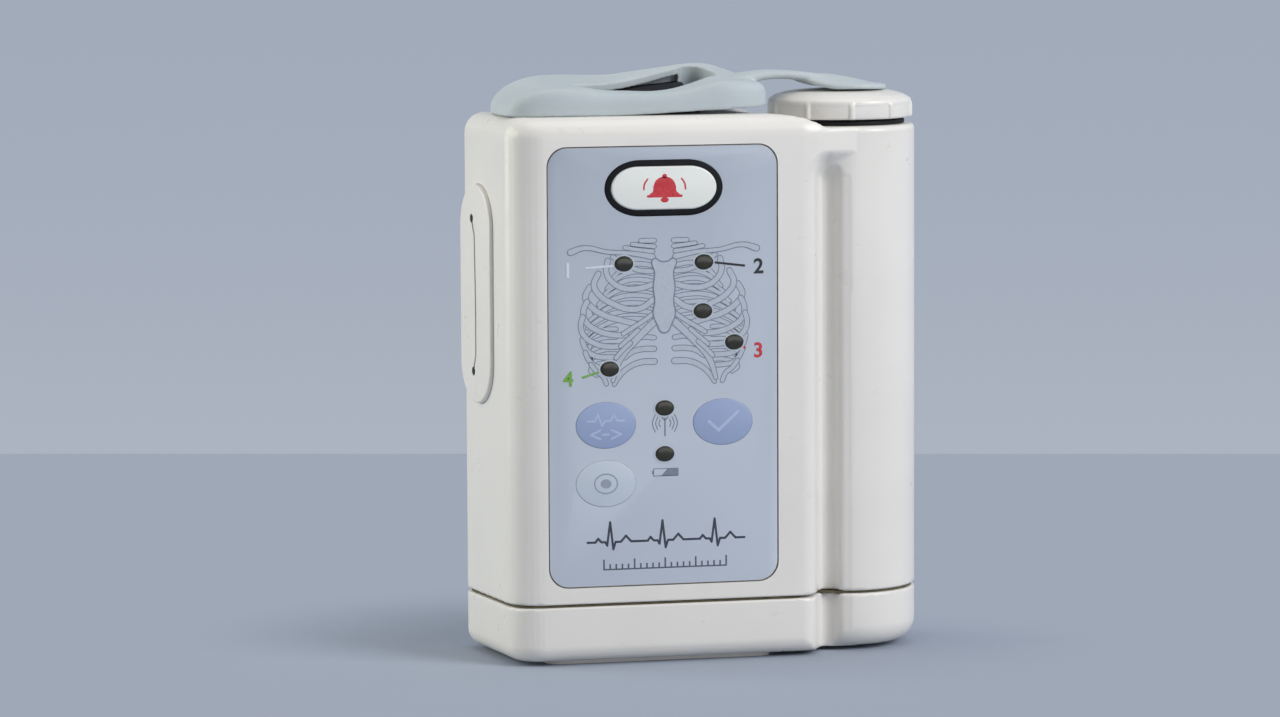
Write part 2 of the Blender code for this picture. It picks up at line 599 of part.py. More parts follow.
def make_bottom_cover(surfaces):
    body = prism(case_outline(), CASE_BASE, SEAM_HEIGHT)
    rounded_rim(body, CASE_BASE, BASE_ROUNDING, BASE_ROUNDING_STEPS)
    cover = add_object("bottom_cover", body, surfaces["case"])
    groove = groove_prism(CASE_BASE - OVERRUN, SEAM_HEIGHT + OVERRUN, 0)
    boolean(cover, helper("cover_groove_cut", groove), "DIFFERENCE")
    edge_centre = (BAY_RADIUS - BAY_BASE_ROUNDING, CASE_BASE + BAY_BASE_ROUNDING)
    edge = arc(edge_centre, BAY_BASE_ROUNDING, -pi / 2, 0, CORNER_STEPS)
    bay = turned(
        [(0, CASE_BASE)] + edge + [(BAY_RADIUS, SEAM_HEIGHT), (0, SEAM_HEIGHT)], BAY_CENTRE, BAY_STEPS
    )
    boolean(cover, helper("cover_bay_join", bay), "UNION")
    foot = rounded_box(0, 0, FOOT_LENGTH, FOOT_WIDTH, FOOT_RADIUS)
    boolean(cover, helper("foot_join", prism(foot, 0, CASE_BASE + CASE_WALL / 2)), "UNION")
    floor = CASE_BASE + CASE_WALL
    boolean(cover, helper("cover_cavity_cut", cavity(floor, SEAM_HEIGHT + OVERRUN)), "DIFFERENCE")
    bore = round_bar(BAY_RADIUS - CASE_WALL, floor, SEAM_HEIGHT + OVERRUN, BAY_CENTRE, ROUND_STEPS)
    boolean(cover, helper("cover_bore_cut", bore), "DIFFERENCE")
    seat = TUBE_BORE_RADIUS + TUBE_WALL + SEAT_GAP
    posts = turned(
        [
            (seat, CASE_BASE + CASE_WALL / 2), (seat + TUBE_WALL, CASE_BASE + CASE_WALL / 2),
            (seat + TUBE_WALL, floor + 2 * TUBE_WALL), (seat, floor + 2 * TUBE_WALL),
        ],
        BAY_CENTRE,
    )
    for place in COVER_SCREW_PLACES:
        post_top = COVER_POST_FOOT - SEAT_GAP
        round_bar(COVER_POST_RADIUS, CASE_BASE + CASE_WALL / 2, post_top, place, SMALL_STEPS, posts)
    boolean(cover, helper("cover_posts_join", posts), "UNION")
    holes = bmesh.new()
    head_top = COVER_SCREW_SINK + COVER_SCREW_HEAD_HEIGHT + SEAT_GAP
    for place in COVER_SCREW_PLACES:
        turned(
            [
                (0, -OVERRUN), (COVER_SCREW_HEAD_RADIUS + SEAT_GAP, -OVERRUN),
                (COVER_SCREW_HEAD_RADIUS + SEAT_GAP, head_top), (COVER_SCREW_RADIUS + SEAT_GAP, head_top),
                (COVER_SCREW_RADIUS + SEAT_GAP, COVER_POST_FOOT + OVERRUN), (0, COVER_POST_FOOT + OVERRUN),
            ],
            place, SMALL_STEPS, holes,
        )
    boolean(cover, helper("cover_screw_holes_cut", holes), "DIFFERENCE")
    return cover


def make_gasket(surfaces):
    """A flat rubber ring between the two shells, following their edge inside the seam."""
    low, high = SEAM_HEIGHT + SEAL_GAP, HOUSING_BOTTOM - SEAL_GAP
    outline = inner_outline(CASE_WALL / 4, CAVITY_RIGHT + CASE_WALL)
    gasket = add_object("housing_gasket", prism(outline, low, high), surfaces["gasket"])
    ring = round_bar(BAY_RADIUS - CASE_WALL / 4, low, high, BAY_CENTRE, BAY_STEPS)
    boolean(gasket, helper("gasket_bay_join", ring), "UNION")
    inside = cavity(low - OVERRUN, high + OVERRUN)
    boolean(gasket, helper("gasket_cavity_cut", inside), "DIFFERENCE")
    bore = round_bar(BAY_RADIUS - CASE_WALL, low - OVERRUN, high + OVERRUN, BAY_CENTRE, ROUND_STEPS)
    boolean(gasket, helper("gasket_bore_cut", bore), "DIFFERENCE")


def make_overlay(surfaces):
    middle, height = (OVERLAY_BOTTOM + OVERLAY_TOP) / 2, OVERLAY_TOP - OVERLAY_BOTTOM
    outline = rounded_box(0, middle, OVERLAY_WIDTH, height, OVERLAY_RADIUS)
    sheet = front_prism(outline, OVERLAY_Y, OVERLAY_Y + OVERLAY_THICKNESS)
    overlay = add_object("front_overlay", sheet, surfaces["overlay"])
    near, far = FRONT_Y - OVERRUN, OVERLAY_Y + OVERLAY_THICKNESS + OVERRUN
    holes = bmesh.new()
    for outline in lamp_holes() + key_holes():
        front_prism(outline, near, far, holes)
    grown = 2 * (CALL_RING_WIDTH + SEAT_GAP)
    front_prism(stadium(0, CALL_Z, CALL_LENGTH + grown, CALL_HEIGHT + grown), near, far, holes)
    boolean(overlay, helper("overlay_holes_cut", holes), "DIFFERENCE")
    grown = 2 * CALL_RING_WIDTH
    ring = front_prism(
        stadium(0, CALL_Z, CALL_LENGTH + grown, CALL_HEIGHT + grown), OVERLAY_Y, OVERLAY_Y + OVERLAY_THICKNESS
    )
    ring = add_object("call_key_ring", ring, surfaces["black"])
    inner = front_prism(stadium(0, CALL_Z, CALL_LENGTH + 2 * SLIP_GAP, CALL_HEIGHT + 2 * SLIP_GAP), near, far)
    boolean(ring, helper("ring_hole_cut", inner), "DIFFERENCE")


def dome_top():
    return BOARD_Y - SEAT_GAP - DOME_HEIGHT


def make_key(name, shape, x, z, length, height, proud, surface):
    """A key that slides back in the front wall: its face, a flange behind the wall and a stem to the dome."""
    flange_y = INNER_FRONT_Y + SLIP_GAP
    bm = front_prism(shape(x, z, length, height), OVERLAY_Y - proud, flange_y + KEY_FLANGE_THICKNESS / 2)
    key = add_object(name, bm, surface)
    flange = shape(x, z, length + 2 * KEY_FLANGE, height + 2 * KEY_FLANGE)
    bm = front_prism(flange, flange_y, flange_y + KEY_FLANGE_THICKNESS)
    boolean(key, helper(name + "_flange_join", bm), "UNION")
    stem_end = dome_top() - KEY_TRAVEL - SLIP_GAP
    stem = ellipse(x, z, 2 * KEY_STEM_RADIUS, 2 * KEY_STEM_RADIUS, HOLE_STEPS)
    bm = front_prism(stem, flange_y + KEY_FLANGE_THICKNESS / 2, stem_end)
    boolean(key, helper(name + "_stem_join", bm), "UNION")


def make_dome(name, x, z, surface):
    bm = bmesh.new()
    foot, top = BOARD_Y - SEAT_GAP, dome_top()
    rings = []
    for share in DOME_SHARES:
        radius = DOME_RADIUS * cos(pi / 2 * share)
        y = foot + (top - foot) * sin(pi / 2 * share)
        outline = ellipse(x, z, 2 * radius, 2 * radius, HOLE_STEPS)
        rings.append([bm.verts.new((px, y, pz)) for px, pz in outline])
    bm.faces.new(rings[0])
    bm.faces.new(rings[-1])
    for low, high in zip(rings, rings[1:]):
        for i, vert in enumerate(low):
            after = (i + 1) % len(low)
            bm.faces.new((vert, low[after], high[after], high[i]))
    add_object(name, bm, surface)


def make_keys(surfaces):
    make_key("call_key", stadium, 0, CALL_Z, CALL_LENGTH, CALL_HEIGHT, CALL_PROUD, surfaces["call_white"])
    make_dome("call_dome", 0, CALL_Z, surfaces["steel"])
    for name, (x, z) in KEY_PLACES.items():
        surface = surfaces["key_pale"] if name == "record_key" else surfaces["key_blue"]
        make_key(name, ellipse, x, z, KEY_LENGTH, KEY_HEIGHT, KEY_PROUD, surface)
        make_dome(name.replace("_key", "_dome"), x, z, surfaces["steel"])


def make_lamps(surfaces):
    led_top = BOARD_Y - SEAT_GAP - LED_HEIGHT
    for name, (x, z) in LAMP_PLACES.items():
        outline = ellipse(x, z, LAMP_LENGTH, LAMP_HEIGHT, LAMP_STEPS)
        lens = front_prism(outline, OVERLAY_Y + SEAL_GAP, led_top - LED_GAP)
        add_object(name + "_lamp_window", lens, surfaces["lamp"])
        half = LED_SIZE / 2
        led = block((x - half, led_top, z - half), (x + half, BOARD_Y - SEAT_GAP, z + half))
        add_object(name + "_led", led, surfaces["call_white"])


def make_board(surfaces):
    middle, height = (BOARD_BOTTOM + BOARD_TOP) / 2, BOARD_TOP - BOARD_BOTTOM
    outline = rounded_box(0, middle, BOARD_WIDTH, height, BOARD_RADIUS)
    back = BOARD_Y + BOARD_THICKNESS
    board = add_object("circuit_board", front_prism(outline, BOARD_Y, back), surfaces["board"])
    holes = bmesh.new()
    size = 2 * (SCREW_RADIUS + SEAT_GAP)
    for x, z in BOSS_PLACES:
        front_prism(ellipse(x, z, size, size, HOLE_STEPS), BOARD_Y - OVERRUN, back + OVERRUN, holes)
    boolean(board, helper("board_holes_cut", holes), "DIFFERENCE")
    head = back + SEAT_GAP
    for number, (x, z) in enumerate(BOSS_PLACES, 1):
        outline = ellipse(x, z, 2 * SCREW_HEAD_RADIUS, 2 * SCREW_HEAD_RADIUS)
        bm = front_prism(outline, head, head + SCREW_HEAD_HEIGHT)
        screw = add_object(f"board_screw_{number}", bm, surfaces["steel"])
        outline = ellipse(x, z, 2 * SCREW_RADIUS, 2 * SCREW_RADIUS, SHANK_STEPS)
        shank = front_prism(outline, INNER_FRONT_Y + SEAT_GAP, head + SCREW_HEAD_HEIGHT / 2)
        boolean(screw, helper(f"board_screw_{number}_shank", shank), "UNION")
    shield = block(
        (-SHIELD_LENGTH / 2, back + SEAT_GAP, SHIELD_BOTTOM),
        (SHIELD_LENGTH / 2, back + SEAT_GAP + SHIELD_THICKNESS, SHIELD_BOTTOM + SHIELD_HEIGHT),
    )
    bmesh.ops.bevel(
        shield, geom=shield.edges[:], offset=SEAT_GAP, affect="EDGES", segments=1, profile=0.5, material=-1
    )
    add_object("shield_can", shield, surfaces["steel"])
    reach = back + SEAT_GAP + ANTENNA_LEG
    end, leg = -ANTENNA_LENGTH / 2, -ANTENNA_LENGTH / 2 + ANTENNA_THICKNESS
    points = [
        (end, back + SEAT_GAP), (end, reach), (-end, reach),
        (-end, reach - ANTENNA_THICKNESS), (leg, reach - ANTENNA_THICKNESS), (leg, back + SEAT_GAP),
    ]
    add_object("antenna", prism(points, ANTENNA_BOTTOM, ANTENNA_BOTTOM + ANTENNA_WIDTH), surfaces["brass"])


def make_socket(surfaces):
    top_low = CASE_TOP + SEAT_GAP
    socket = add_object(
        "lead_socket",
        prism(stadium(0, 0, SOCKET_LENGTH, SOCKET_WIDTH), top_low, SOCKET_TOP),
        surfaces["black"],
    )
    foot = block(
        (-SOCKET_FOOT_LENGTH / 2, -SOCKET_FOOT_WIDTH / 2, SOCKET_FOOT_BOTTOM),
        (SOCKET_FOOT_LENGTH / 2, SOCKET_FOOT_WIDTH / 2, top_low + SEAT_GAP),
    )
    boolean(socket, helper("socket_foot_join", foot), "UNION")
    slot = block(
        (-SOCKET_SLOT_LENGTH / 2 + SEAT_GAP, -SOCKET_SLOT_WIDTH / 2, SOCKET_TOP - SOCKET_SLOT_DEPTH),
        (SOCKET_SLOT_LENGTH / 2 - SEAT_GAP, SOCKET_SLOT_WIDTH / 2, SOCKET_TOP + OVERRUN),
    )
    boolean(socket, helper("socket_slot_cut", slot), "DIFFERENCE")
    for i in range(CONTACT_COUNT):
        x = (i - (CONTACT_COUNT - 1) / 2) * CONTACT_PITCH
        blade = block(
            (x - CONTACT_WIDTH / 2, -CONTACT_THICKNESS / 2, SOCKET_TOP - SOCKET_SLOT_DEPTH + SEAT_GAP),
            (x + CONTACT_WIDTH / 2, CONTACT_THICKNESS / 2, SOCKET_TOP - CONTACT_TOP_DROP),
        )
        add_object(f"lead_contact_{i + 1}", blade, surfaces["brass"])


def boot_base(share):
    rise = max(0.0, (share - BOOT_LIFT_START_SHARE) / (1 - BOOT_LIFT_START_SHARE))
    return CASE_TOP + SEAT_GAP + BOOT_LIFT * rise


def make_boot(surfaces):
    """A soft cover lofted from left to right, with an eye-shaped opening over the lead socket."""
    bm = bmesh.new()
    rings = []
    steps = HOLE_STEPS
    middle, half = (BOOT_FRONT + BOOT_BACK) / 2, (BOOT_BACK - BOOT_FRONT) / 2
    for share, front_share, back_share, width_share in BOOT_PROFILE_SHARES:
        x = BOOT_LEFT + (BOOT_RIGHT - BOOT_LEFT) * share
        base = boot_base(share)
        ring = []
        for i in range(steps + 1):
            angle = pi * i / steps
            across = -cos(angle)
            height_share = front_share + (back_share - front_share) * (across + 1) / 2
            tall = height_share * BOOT_HEIGHT - (base - CASE_TOP)
            y = middle + half * width_share * across
            ring.append(bm.verts.new((x, y, base + tall * sin(angle) ** BOOT_SQUARENESS_SHARE)))
        rings.append(ring)
    bm.faces.new(rings[0])
    bm.faces.new(rings[-1])
    for left, right in zip(rings, rings[1:]):
        for i in range(steps + 1):
            after = (i + 1) % (steps + 1)
            bm.faces.new((left[i], left[after], right[after], right[i]))
    boot = add_object("lead_boot", bm, surfaces["rubber"])
    lens = []
    for side in (-1, 1):
        for i in range(SMALL_STEPS):
            along = i / SMALL_STEPS if side < 0 else 1 - i / SMALL_STEPS
            lens.append((EYE_LEFT + (EYE_RIGHT - EYE_LEFT) * along, side * EYE_HALF_WIDTH * sin(pi * along)))
    eye = prism(lens, CASE_TOP, CASE_TOP + BOOT_HEIGHT + OVERRUN)
    boolean(boot, helper("eye_cut", eye), "DIFFERENCE")
    room = stadium(0, 0, SOCKET_LENGTH + 2 * SEAT_GAP, SOCKET_WIDTH + 2 * SEAT_GAP)
    room = prism(room, CASE_TOP, SOCKET_TOP + SEAT_GAP)
    boolean(boot, helper("socket_room_cut", room), "DIFFERENCE")


def make_tether(surfaces):
    """A strap from the boot to a button that turns freely in the middle of the battery cap."""
    start, end = BOOT_RIGHT + SEAT_GAP, BAY_X - BUTTON_RADIUS + SEAT_GAP
    upper = []
    lower = []
    for i in range(STRAP_STEPS + 1):
        share = i / STRAP_STEPS
        x = start + (end - start) * share
        rise = STRAP_RISE * (1 - share ** 2) - STRAP_FALL * share ** 2
        thickness = STRAP_THICKNESS + (BUTTON_THICKNESS - STRAP_THICKNESS) * share
        top = BUTTON_TOP + rise + STRAP_FALL * share
        upper.append((x, top))
        lower.append((x, top - thickness))
    band = front_prism(upper + lower[::-1], BAY_Y - STRAP_WIDTH / 2, BAY_Y + STRAP_WIDTH / 2)
    strap = add_object("cap_tether", band, surfaces["rubber"])
    over = BUTTON_TOP + STRAP_THICKNESS + OVERRUN
    clear = round_bar(BUTTON_RADIUS + SEAT_GAP, BUTTON_BOTTOM - OVERRUN, over, BAY_CENTRE, ROUND_STEPS)
    boolean(strap, helper("strap_end_cut", clear), "DIFFERENCE")
    stem_end = BUTTON_BOTTOM - BUTTON_GAP - STEM_LENGTH
    flat = BUTTON_RADIUS - BUTTON_THICKNESS / 2
    button = turned(
        [
            (0, stem_end), (STEM_RADIUS, stem_end), (STEM_RADIUS, BUTTON_BOTTOM), (flat, BUTTON_BOTTOM),
            (BUTTON_RADIUS, BUTTON_BOTTOM + BUTTON_THICKNESS / 2), (flat, BUTTON_TOP), (0, BUTTON_TOP),
        ],
        BAY_CENTRE,
    )
    add_object("tether_button", button, surfaces["rubber"])


def make_cap(surfaces):
    roof = CAP_TOP - CAP_ROOF
    bevel = BAY_ROUNDING / 2
    profile = [
        (CAP_BORE_RADIUS, CAP_BOTTOM), (CAP_RADIUS - bevel, CAP_BOTTOM), (CAP_RADIUS, CAP_BOTTOM + bevel),
        (CAP_RADIUS, CAP_WALL_TOP),
    ]
    for radius_share, height_share in CAP_DOME_SHARES:
        profile.append((CAP_RADIUS * radius_share, CAP_WALL_TOP + (CAP_TOP - CAP_WALL_TOP) * height_share))
    profile += [(STEM_RADIUS + SLIP_GAP, CAP_TOP), (STEM_RADIUS + SLIP_GAP, roof), (CAP_BORE_RADIUS, roof)]
    bm = turned(profile, BAY_CENTRE, CAP_FLUTES * FLUTE_STEPS)
    for v in bm.verts:
        out = Vector((v.co.x - BAY_X, v.co.y - BAY_Y))
        if out.length > CAP_RADIUS - 2 * CAP_FLUTE_DEPTH:
            turn = atan2(out.y, out.x) - CAP_RIDGE_ANGLE
            v.co.xy -= out.normalized() * CAP_FLUTE_DEPTH * abs(sin(turn * CAP_FLUTES / 2))
    add_object("battery_cap", bm, surfaces["case"])
    low = SHOULDER_HEIGHT + SEAT_GAP / 2
    high = low + SEAL_HEIGHT
    inner = SEAL_RADIUS - SEAL_WIDTH
    seal = turned([(inner, low), (SEAL_RADIUS, low), (SEAL_RADIUS, high), (inner, high)], BAY_CENTRE)
    add_object("cap_seal", seal, surfaces["seal"])
    plate_top = roof - SEAT_GAP
    plate_bottom = NECK_TOP + SEAT_GAP
    cell_top = cell_bottom(1) + CELL_LENGTH
    plate_radius = CAP_BORE_RADIUS - 2 * SEAT_GAP
    contact = turned(
        [
            (0, cell_top + SEAT_GAP), (PLUNGER_RADIUS, cell_top + SEAT_GAP), (PLUNGER_RADIUS, plate_bottom),
            (plate_radius, plate_bottom), (plate_radius, plate_top), (0, plate_top),
        ],
        BAY_CENTRE,
    )
    add_object("cap_contact", contact, surfaces["steel"])


def spring_top():
    return cell_bottom(0) - SEAT_GAP


def cell_bottom(index):
    """Both cells stand in line, measured down from the cap's contact."""
    top = SHOULDER_HEIGHT - SEAT_GAP / 2
    return top - (2 - index) * CELL_LENGTH - (1 - index) * SEAT_GAP


def make_battery(surfaces):
    outer = TUBE_BORE_RADIUS + TUBE_WALL
    floor = TUBE_BOTTOM + TUBE_FLOOR
    ledge = SHOULDER_HEIGHT - CASE_WALL - SEAT_GAP
    tube = turned(
        [
            (0, TUBE_BOTTOM), (outer, TUBE_BOTTOM), (outer, ledge - TUBE_FLANGE_HEIGHT),
            (TUBE_FLANGE_RADIUS, ledge - TUBE_FLANGE_HEIGHT), (TUBE_FLANGE_RADIUS, ledge),
            (NECK_RADIUS, ledge), (NECK_RADIUS, NECK_TOP), (TUBE_BORE_RADIUS, NECK_TOP),
            (TUBE_BORE_RADIUS, floor), (0, floor),
        ],
        BAY_CENTRE,
    )
    add_object("battery_tube", tube, surfaces["black"])
    for index in (0, 1):
        low = cell_bottom(index)
        high = low + CELL_LENGTH
        shoulder = high - CELL_TIP_HEIGHT
        cell = turned(
            [
                (0, low), (CELL_RADIUS - CELL_EDGE, low), (CELL_RADIUS, low + CELL_EDGE),
                (CELL_RADIUS, shoulder - CELL_EDGE), (CELL_RADIUS - CELL_EDGE, shoulder),
                (CELL_TIP_RADIUS, shoulder), (CELL_TIP_RADIUS, high), (0, high),
            ],
            BAY_CENTRE, CELL_STEPS,
        )
        add_object(f"battery_cell_{index + 1}", cell, surfaces["cell"])
    terminal_top = floor + SEAT_GAP + TERMINAL_THICKNESS
    terminal = round_bar(TERMINAL_RADIUS, floor + SEAT_GAP, terminal_top, BAY_CENTRE, CELL_STEPS)
    add_object("battery_terminal", terminal, surfaces["steel"])
    make_spring(terminal_top + SEAT_GAP, spring_top(), surfaces["steel"])


def make_spring(low, high, surface):
    """A conical coil between the terminal and the lower cell."""
    curve = bpy.data.curves.new("battery_spring", "CURVE")
    curve.dimensions = "3D"
    curve.bevel_depth = SPRING_WIRE / 2
    curve.bevel_resolution = 1
    curve.use_fill_caps = True
    spline = curve.splines.new("POLY")
    count = SPRING_TURNS * SPRING_STEPS
    spline.points.add(count)
    first, last = low + SPRING_WIRE / 2, high - SPRING_WIRE / 2
    for i, point in enumerate(spline.points):
        share = i / count
        radius = SPRING_RADIUS + (SPRING_TOP_RADIUS - SPRING_RADIUS) * share
        angle = 2 * pi * SPRING_TURNS * share
        height = first + (last - first) * share
        point.co = (BAY_X + radius * cos(angle), BAY_Y + radius * sin(angle), height, 1)
    made = bpy.data.objects.new("battery_spring", curve)
    curve.materials.append(surface)
    bpy.context.scene.collection.objects.link(made)


def make_side_door(surfaces):
    inner, outer = DOOR_PROUD - DOOR_THICKNESS, DOOR_PROUD
    outline = door_outline(DOOR_HALF_WIDTH, DOOR_BOTTOM, DOOR_TOP)
    reach = DOOR_HALF_WIDTH + OVERRUN
    holes = bmesh.new()
    for z in DOOR_HOLE_ZS:
        hole = ellipse(DOOR_MIDDLE, z, 2 * DOOR_HOLE_RADIUS, 2 * DOOR_HOLE_RADIUS, HOLE_STEPS)
        front_prism(hole, inner - OVERRUN, outer + OVERRUN, holes)
    bmesh.ops.transform(holes, matrix=side_frame(), verts=holes.verts)
    holes = helper("fold_holes_cut", holes)
    for name, side in (("side_cover", 1), ("side_flap", -1)):
        half = add_object(name, side_solid(outline, inner, outer), surfaces["case"])
        edge = DOOR_MIDDLE + side * DOOR_SPLIT / 2
        far = DOOR_MIDDLE - side * reach
        near, far = sorted((edge, far))
        low, high = DOOR_BOTTOM - OVERRUN, DOOR_TOP + OVERRUN
        away = side_solid(
            [(near, low), (far, low), (far, high), (near, high)], inner - OVERRUN, outer + OVERRUN
        )
        boolean(half, helper(name + "_half_cut", away), "DIFFERENCE")
        boolean(half, holes, "DIFFERENCE")
    face = inner - 2 * SEAT_GAP
    port = side_solid(port_outline(PORT_LENGTH, PORT_WIDTH), face - PORT_DEPTH, face)
    port = add_object("side_port", port, surfaces["black"])
    slot = side_solid(port_outline(PORT_SLOT_LENGTH, PORT_SLOT_WIDTH), face - PORT_SLOT_DEPTH, face + OVERRUN)
    boolean(port, helper("port_slot_cut", slot), "DIFFERENCE")


def make_cover_screws(surfaces):
    for number, place in enumerate(COVER_SCREW_PLACES, 1):
        head = COVER_SCREW_SINK + COVER_SCREW_HEAD_HEIGHT
        screw = turned(
            [
                (0, COVER_SCREW_SINK), (COVER_SCREW_HEAD_RADIUS, COVER_SCREW_SINK),
                (COVER_SCREW_HEAD_RADIUS, head), (COVER_SCREW_RADIUS, head),
                (COVER_SCREW_RADIUS, COVER_SCREW_LENGTH), (0, COVER_SCREW_LENGTH),
            ],
            place, SMALL_STEPS,
        )
        add_object(f"cover_screw_{number}", screw, surfaces["steel"])


def main():
    for old in list(bpy.data.objects):
        bpy.data.objects.remove(old)
    surfaces = materials()
    make_housing(surfaces)
    make_bottom_cover(surfaces)
    make_gasket(surfaces)
    make_overlay(surfaces)
    make_keys(surfaces)
    make_lamps(surfaces)
    make_board(surfaces)
    make_socket(surfaces)
    make_boot(surfaces)
    make_tether(surfaces)
    make_cap(surfaces)
    make_battery(surfaces)
    make_side_door(surfaces)
    make_cover_screws(surfaces)


main()
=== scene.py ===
import json
from math import atan2, cos, hypot, pi, radians, sin, tan

import bmesh
import bpy
from mathutils import Matrix, Vector
from mathutils.bvhtree import BVHTree

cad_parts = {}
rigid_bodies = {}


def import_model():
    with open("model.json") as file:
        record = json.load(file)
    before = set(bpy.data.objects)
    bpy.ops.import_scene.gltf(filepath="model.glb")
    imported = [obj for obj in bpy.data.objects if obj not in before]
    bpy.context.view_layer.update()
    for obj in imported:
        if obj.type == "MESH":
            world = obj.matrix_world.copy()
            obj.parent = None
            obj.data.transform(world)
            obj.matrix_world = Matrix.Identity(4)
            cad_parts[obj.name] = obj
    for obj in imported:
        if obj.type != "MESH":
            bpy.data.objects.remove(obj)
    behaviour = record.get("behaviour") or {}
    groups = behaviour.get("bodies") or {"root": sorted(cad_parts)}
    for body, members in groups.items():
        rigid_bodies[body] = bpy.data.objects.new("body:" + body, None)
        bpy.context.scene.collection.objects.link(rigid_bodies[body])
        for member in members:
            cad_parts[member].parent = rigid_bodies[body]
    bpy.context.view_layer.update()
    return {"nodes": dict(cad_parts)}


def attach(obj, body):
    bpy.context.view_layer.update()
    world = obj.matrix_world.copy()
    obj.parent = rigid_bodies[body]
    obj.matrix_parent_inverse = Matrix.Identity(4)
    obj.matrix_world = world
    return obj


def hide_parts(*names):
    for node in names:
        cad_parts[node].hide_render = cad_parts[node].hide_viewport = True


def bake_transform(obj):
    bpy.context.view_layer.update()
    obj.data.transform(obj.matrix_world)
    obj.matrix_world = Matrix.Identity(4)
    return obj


for leftover in list(bpy.data.objects):
    bpy.data.objects.remove(leftover)
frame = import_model()
mm = 0.001


# Camera: placed from the photograph, with the picture's middle on the front of the case
cameraView = {"lens": 149.06, "distance": 1088.3 * mm, "azimuth": 13.8, "elevation": 5.75, "roll": 0.27,
              "target": (-5.2 * mm, -17.6 * mm, 63.4 * mm)}


def addObject(name, data):
    made = bpy.data.objects.new(name, data)
    bpy.context.scene.collection.objects.link(made)
    return made


def placeCamera(view):
    turn, tilt, roll = (radians(view[name]) for name in ("azimuth", "elevation", "roll"))
    forward = Vector((sin(turn) * cos(tilt), cos(turn) * cos(tilt), -sin(tilt)))
    right = Vector((cos(turn), -sin(turn), 0))
    up = right.cross(forward)
    right, up = cos(roll) * right - sin(roll) * up, sin(roll) * right + cos(roll) * up
    camera = addObject("camera", bpy.data.cameras.new("camera"))
    camera.data.lens = view["lens"]
    camera.data.sensor_width = 36
    camera.data.clip_start = 0.01
    camera.data.clip_end = 20
    camera.matrix_world = Matrix((right, up, -forward)).transposed().to_4x4()
    camera.location = Vector(view["target"]) - forward * view["distance"]
    bpy.context.scene.camera = camera


placeCamera(cameraView)
bpy.context.scene.view_settings.view_transform = "Standard"


# Materials
def linearColour(hexColour):
    channels = [int(hexColour[i:i + 2], 16) / 255 for i in (0, 2, 4)]
    return (*[c / 12.92 if c <= 0.04045 else ((c + 0.055) / 1.055) ** 2.4 for c in channels], 1)


def perSize(millimetres):
    return 1 / (millimetres * mm)  # a texture scale at which one feature is about this long


def join(finish, output, entry):
    finish.node_tree.links.new(output, entry)


def addNode(finish, kind, sockets=None, **settings):
    node = finish.node_tree.nodes.new(kind)
    for name, value in settings.items():
        setattr(node, name, value)
    for socket, value in (sockets or {}).items():
        if isinstance(value, bpy.types.NodeSocket):
            join(finish, value, node.inputs[socket])
        else:
            node.inputs[socket].default_value = value
    return node


def newFinish(name, **shader):
    finish = bpy.data.materials.new(name)
    finish.use_nodes = True
    principled = finish.node_tree.nodes["Principled BSDF"]
    for socket, value in shader.items():
        principled.inputs[socket.replace("_", " ")].default_value = value
    place = addNode(finish, "ShaderNodeTexCoord").outputs["Object"]
    return finish, principled, place


def mapRange(finish, value, span, result=(0, 1), **settings):
    return addNode(finish, "ShaderNodeMapRange", {"Value": value, "From Min": span[0], "From Max": span[1],
                                                  "To Min": result[0], "To Max": result[1]},
                   **settings).outputs["Result"]


def colourRamp(finish, share, colours, positions=(0, 1)):
    ramp = addNode(finish, "ShaderNodeValToRGB", {"Fac": share})
    for stop, colour, position in zip(ramp.color_ramp.elements, colours, positions):
        stop.color, stop.position = linearColour(colour), position
    return ramp


def twoTone(finish, principled, place, colours, size):
    # The colour drifts between two close tones, as a moulding or a print does
    drift = addNode(finish, "ShaderNodeTexNoise", {"Vector": place, "Scale": perSize(size), "Detail": 3})
    ramp = colourRamp(finish, drift.outputs["Fac"], colours, (0.35, 0.65))
    join(finish, ramp.outputs["Color"], principled.inputs["Base Color"])


def roughen(finish, principled, place, size, depth, detail):
    fine = addNode(finish, "ShaderNodeTexNoise", {"Vector": place, "Scale": perSize(size), "Detail": detail})
    bump = addNode(finish, "ShaderNodeBump", {"Height": fine.outputs["Fac"], "Distance": depth * mm,
                                              "Strength": 1.0})
    join(finish, bump.outputs["Normal"], principled.inputs["Normal"])


def grain(finish, principled, place, size, depth, roughness, patch=6.0):
    # Fine surface grain as bump, and gloss that varies a little from place to place
    roughen(finish, principled, place, size, depth, 2)
    broad = addNode(finish, "ShaderNodeTexNoise", {"Vector": place, "Scale": perSize(patch), "Detail": 4})
    gloss = mapRange(finish, broad.outputs["Fac"], (0.3, 0.7), roughness)
    join(finish, gloss, principled.inputs["Roughness"])


def plainFinish(name, tones, drift, fine, depth, roughness, patch=6.0, **shader):
    # Two close tones, a fine grain and a gloss that varies: sizes in millimetres
    finish, principled, place = newFinish(name, **shader)
    twoTone(finish, principled, place, tones, drift)
    grain(finish, principled, place, fine, depth, roughness, patch)
    return finish


def polyesterFilm(name, tones, gloss=(0.36, 0.46), fade=None):
    # Printed polyester film with a satin hard coat: the sheen is broken by a fine tooth. Given a fade, the
    # large sheet's colour is painted lighter towards its foot: painted light, for the floor's reflection in
    # its gloss
    finish, shader, place = newFinish(name, IOR=1.58)
    if fade:
        along = addNode(finish, "ShaderNodeVectorMath", {0: place, 1: (0.1 / mm, 0, -1 / mm)},
                        operation="DOT_PRODUCT")
        ramp = colourRamp(finish, mapRange(finish, along.outputs["Value"], fade), tones)
        join(finish, ramp.outputs["Color"], shader.inputs["Base Color"])
    else:
        twoTone(finish, shader, place, tones, 30)
    grain(finish, shader, place, 0.22, 0.0025, gloss, 12)
    return finish


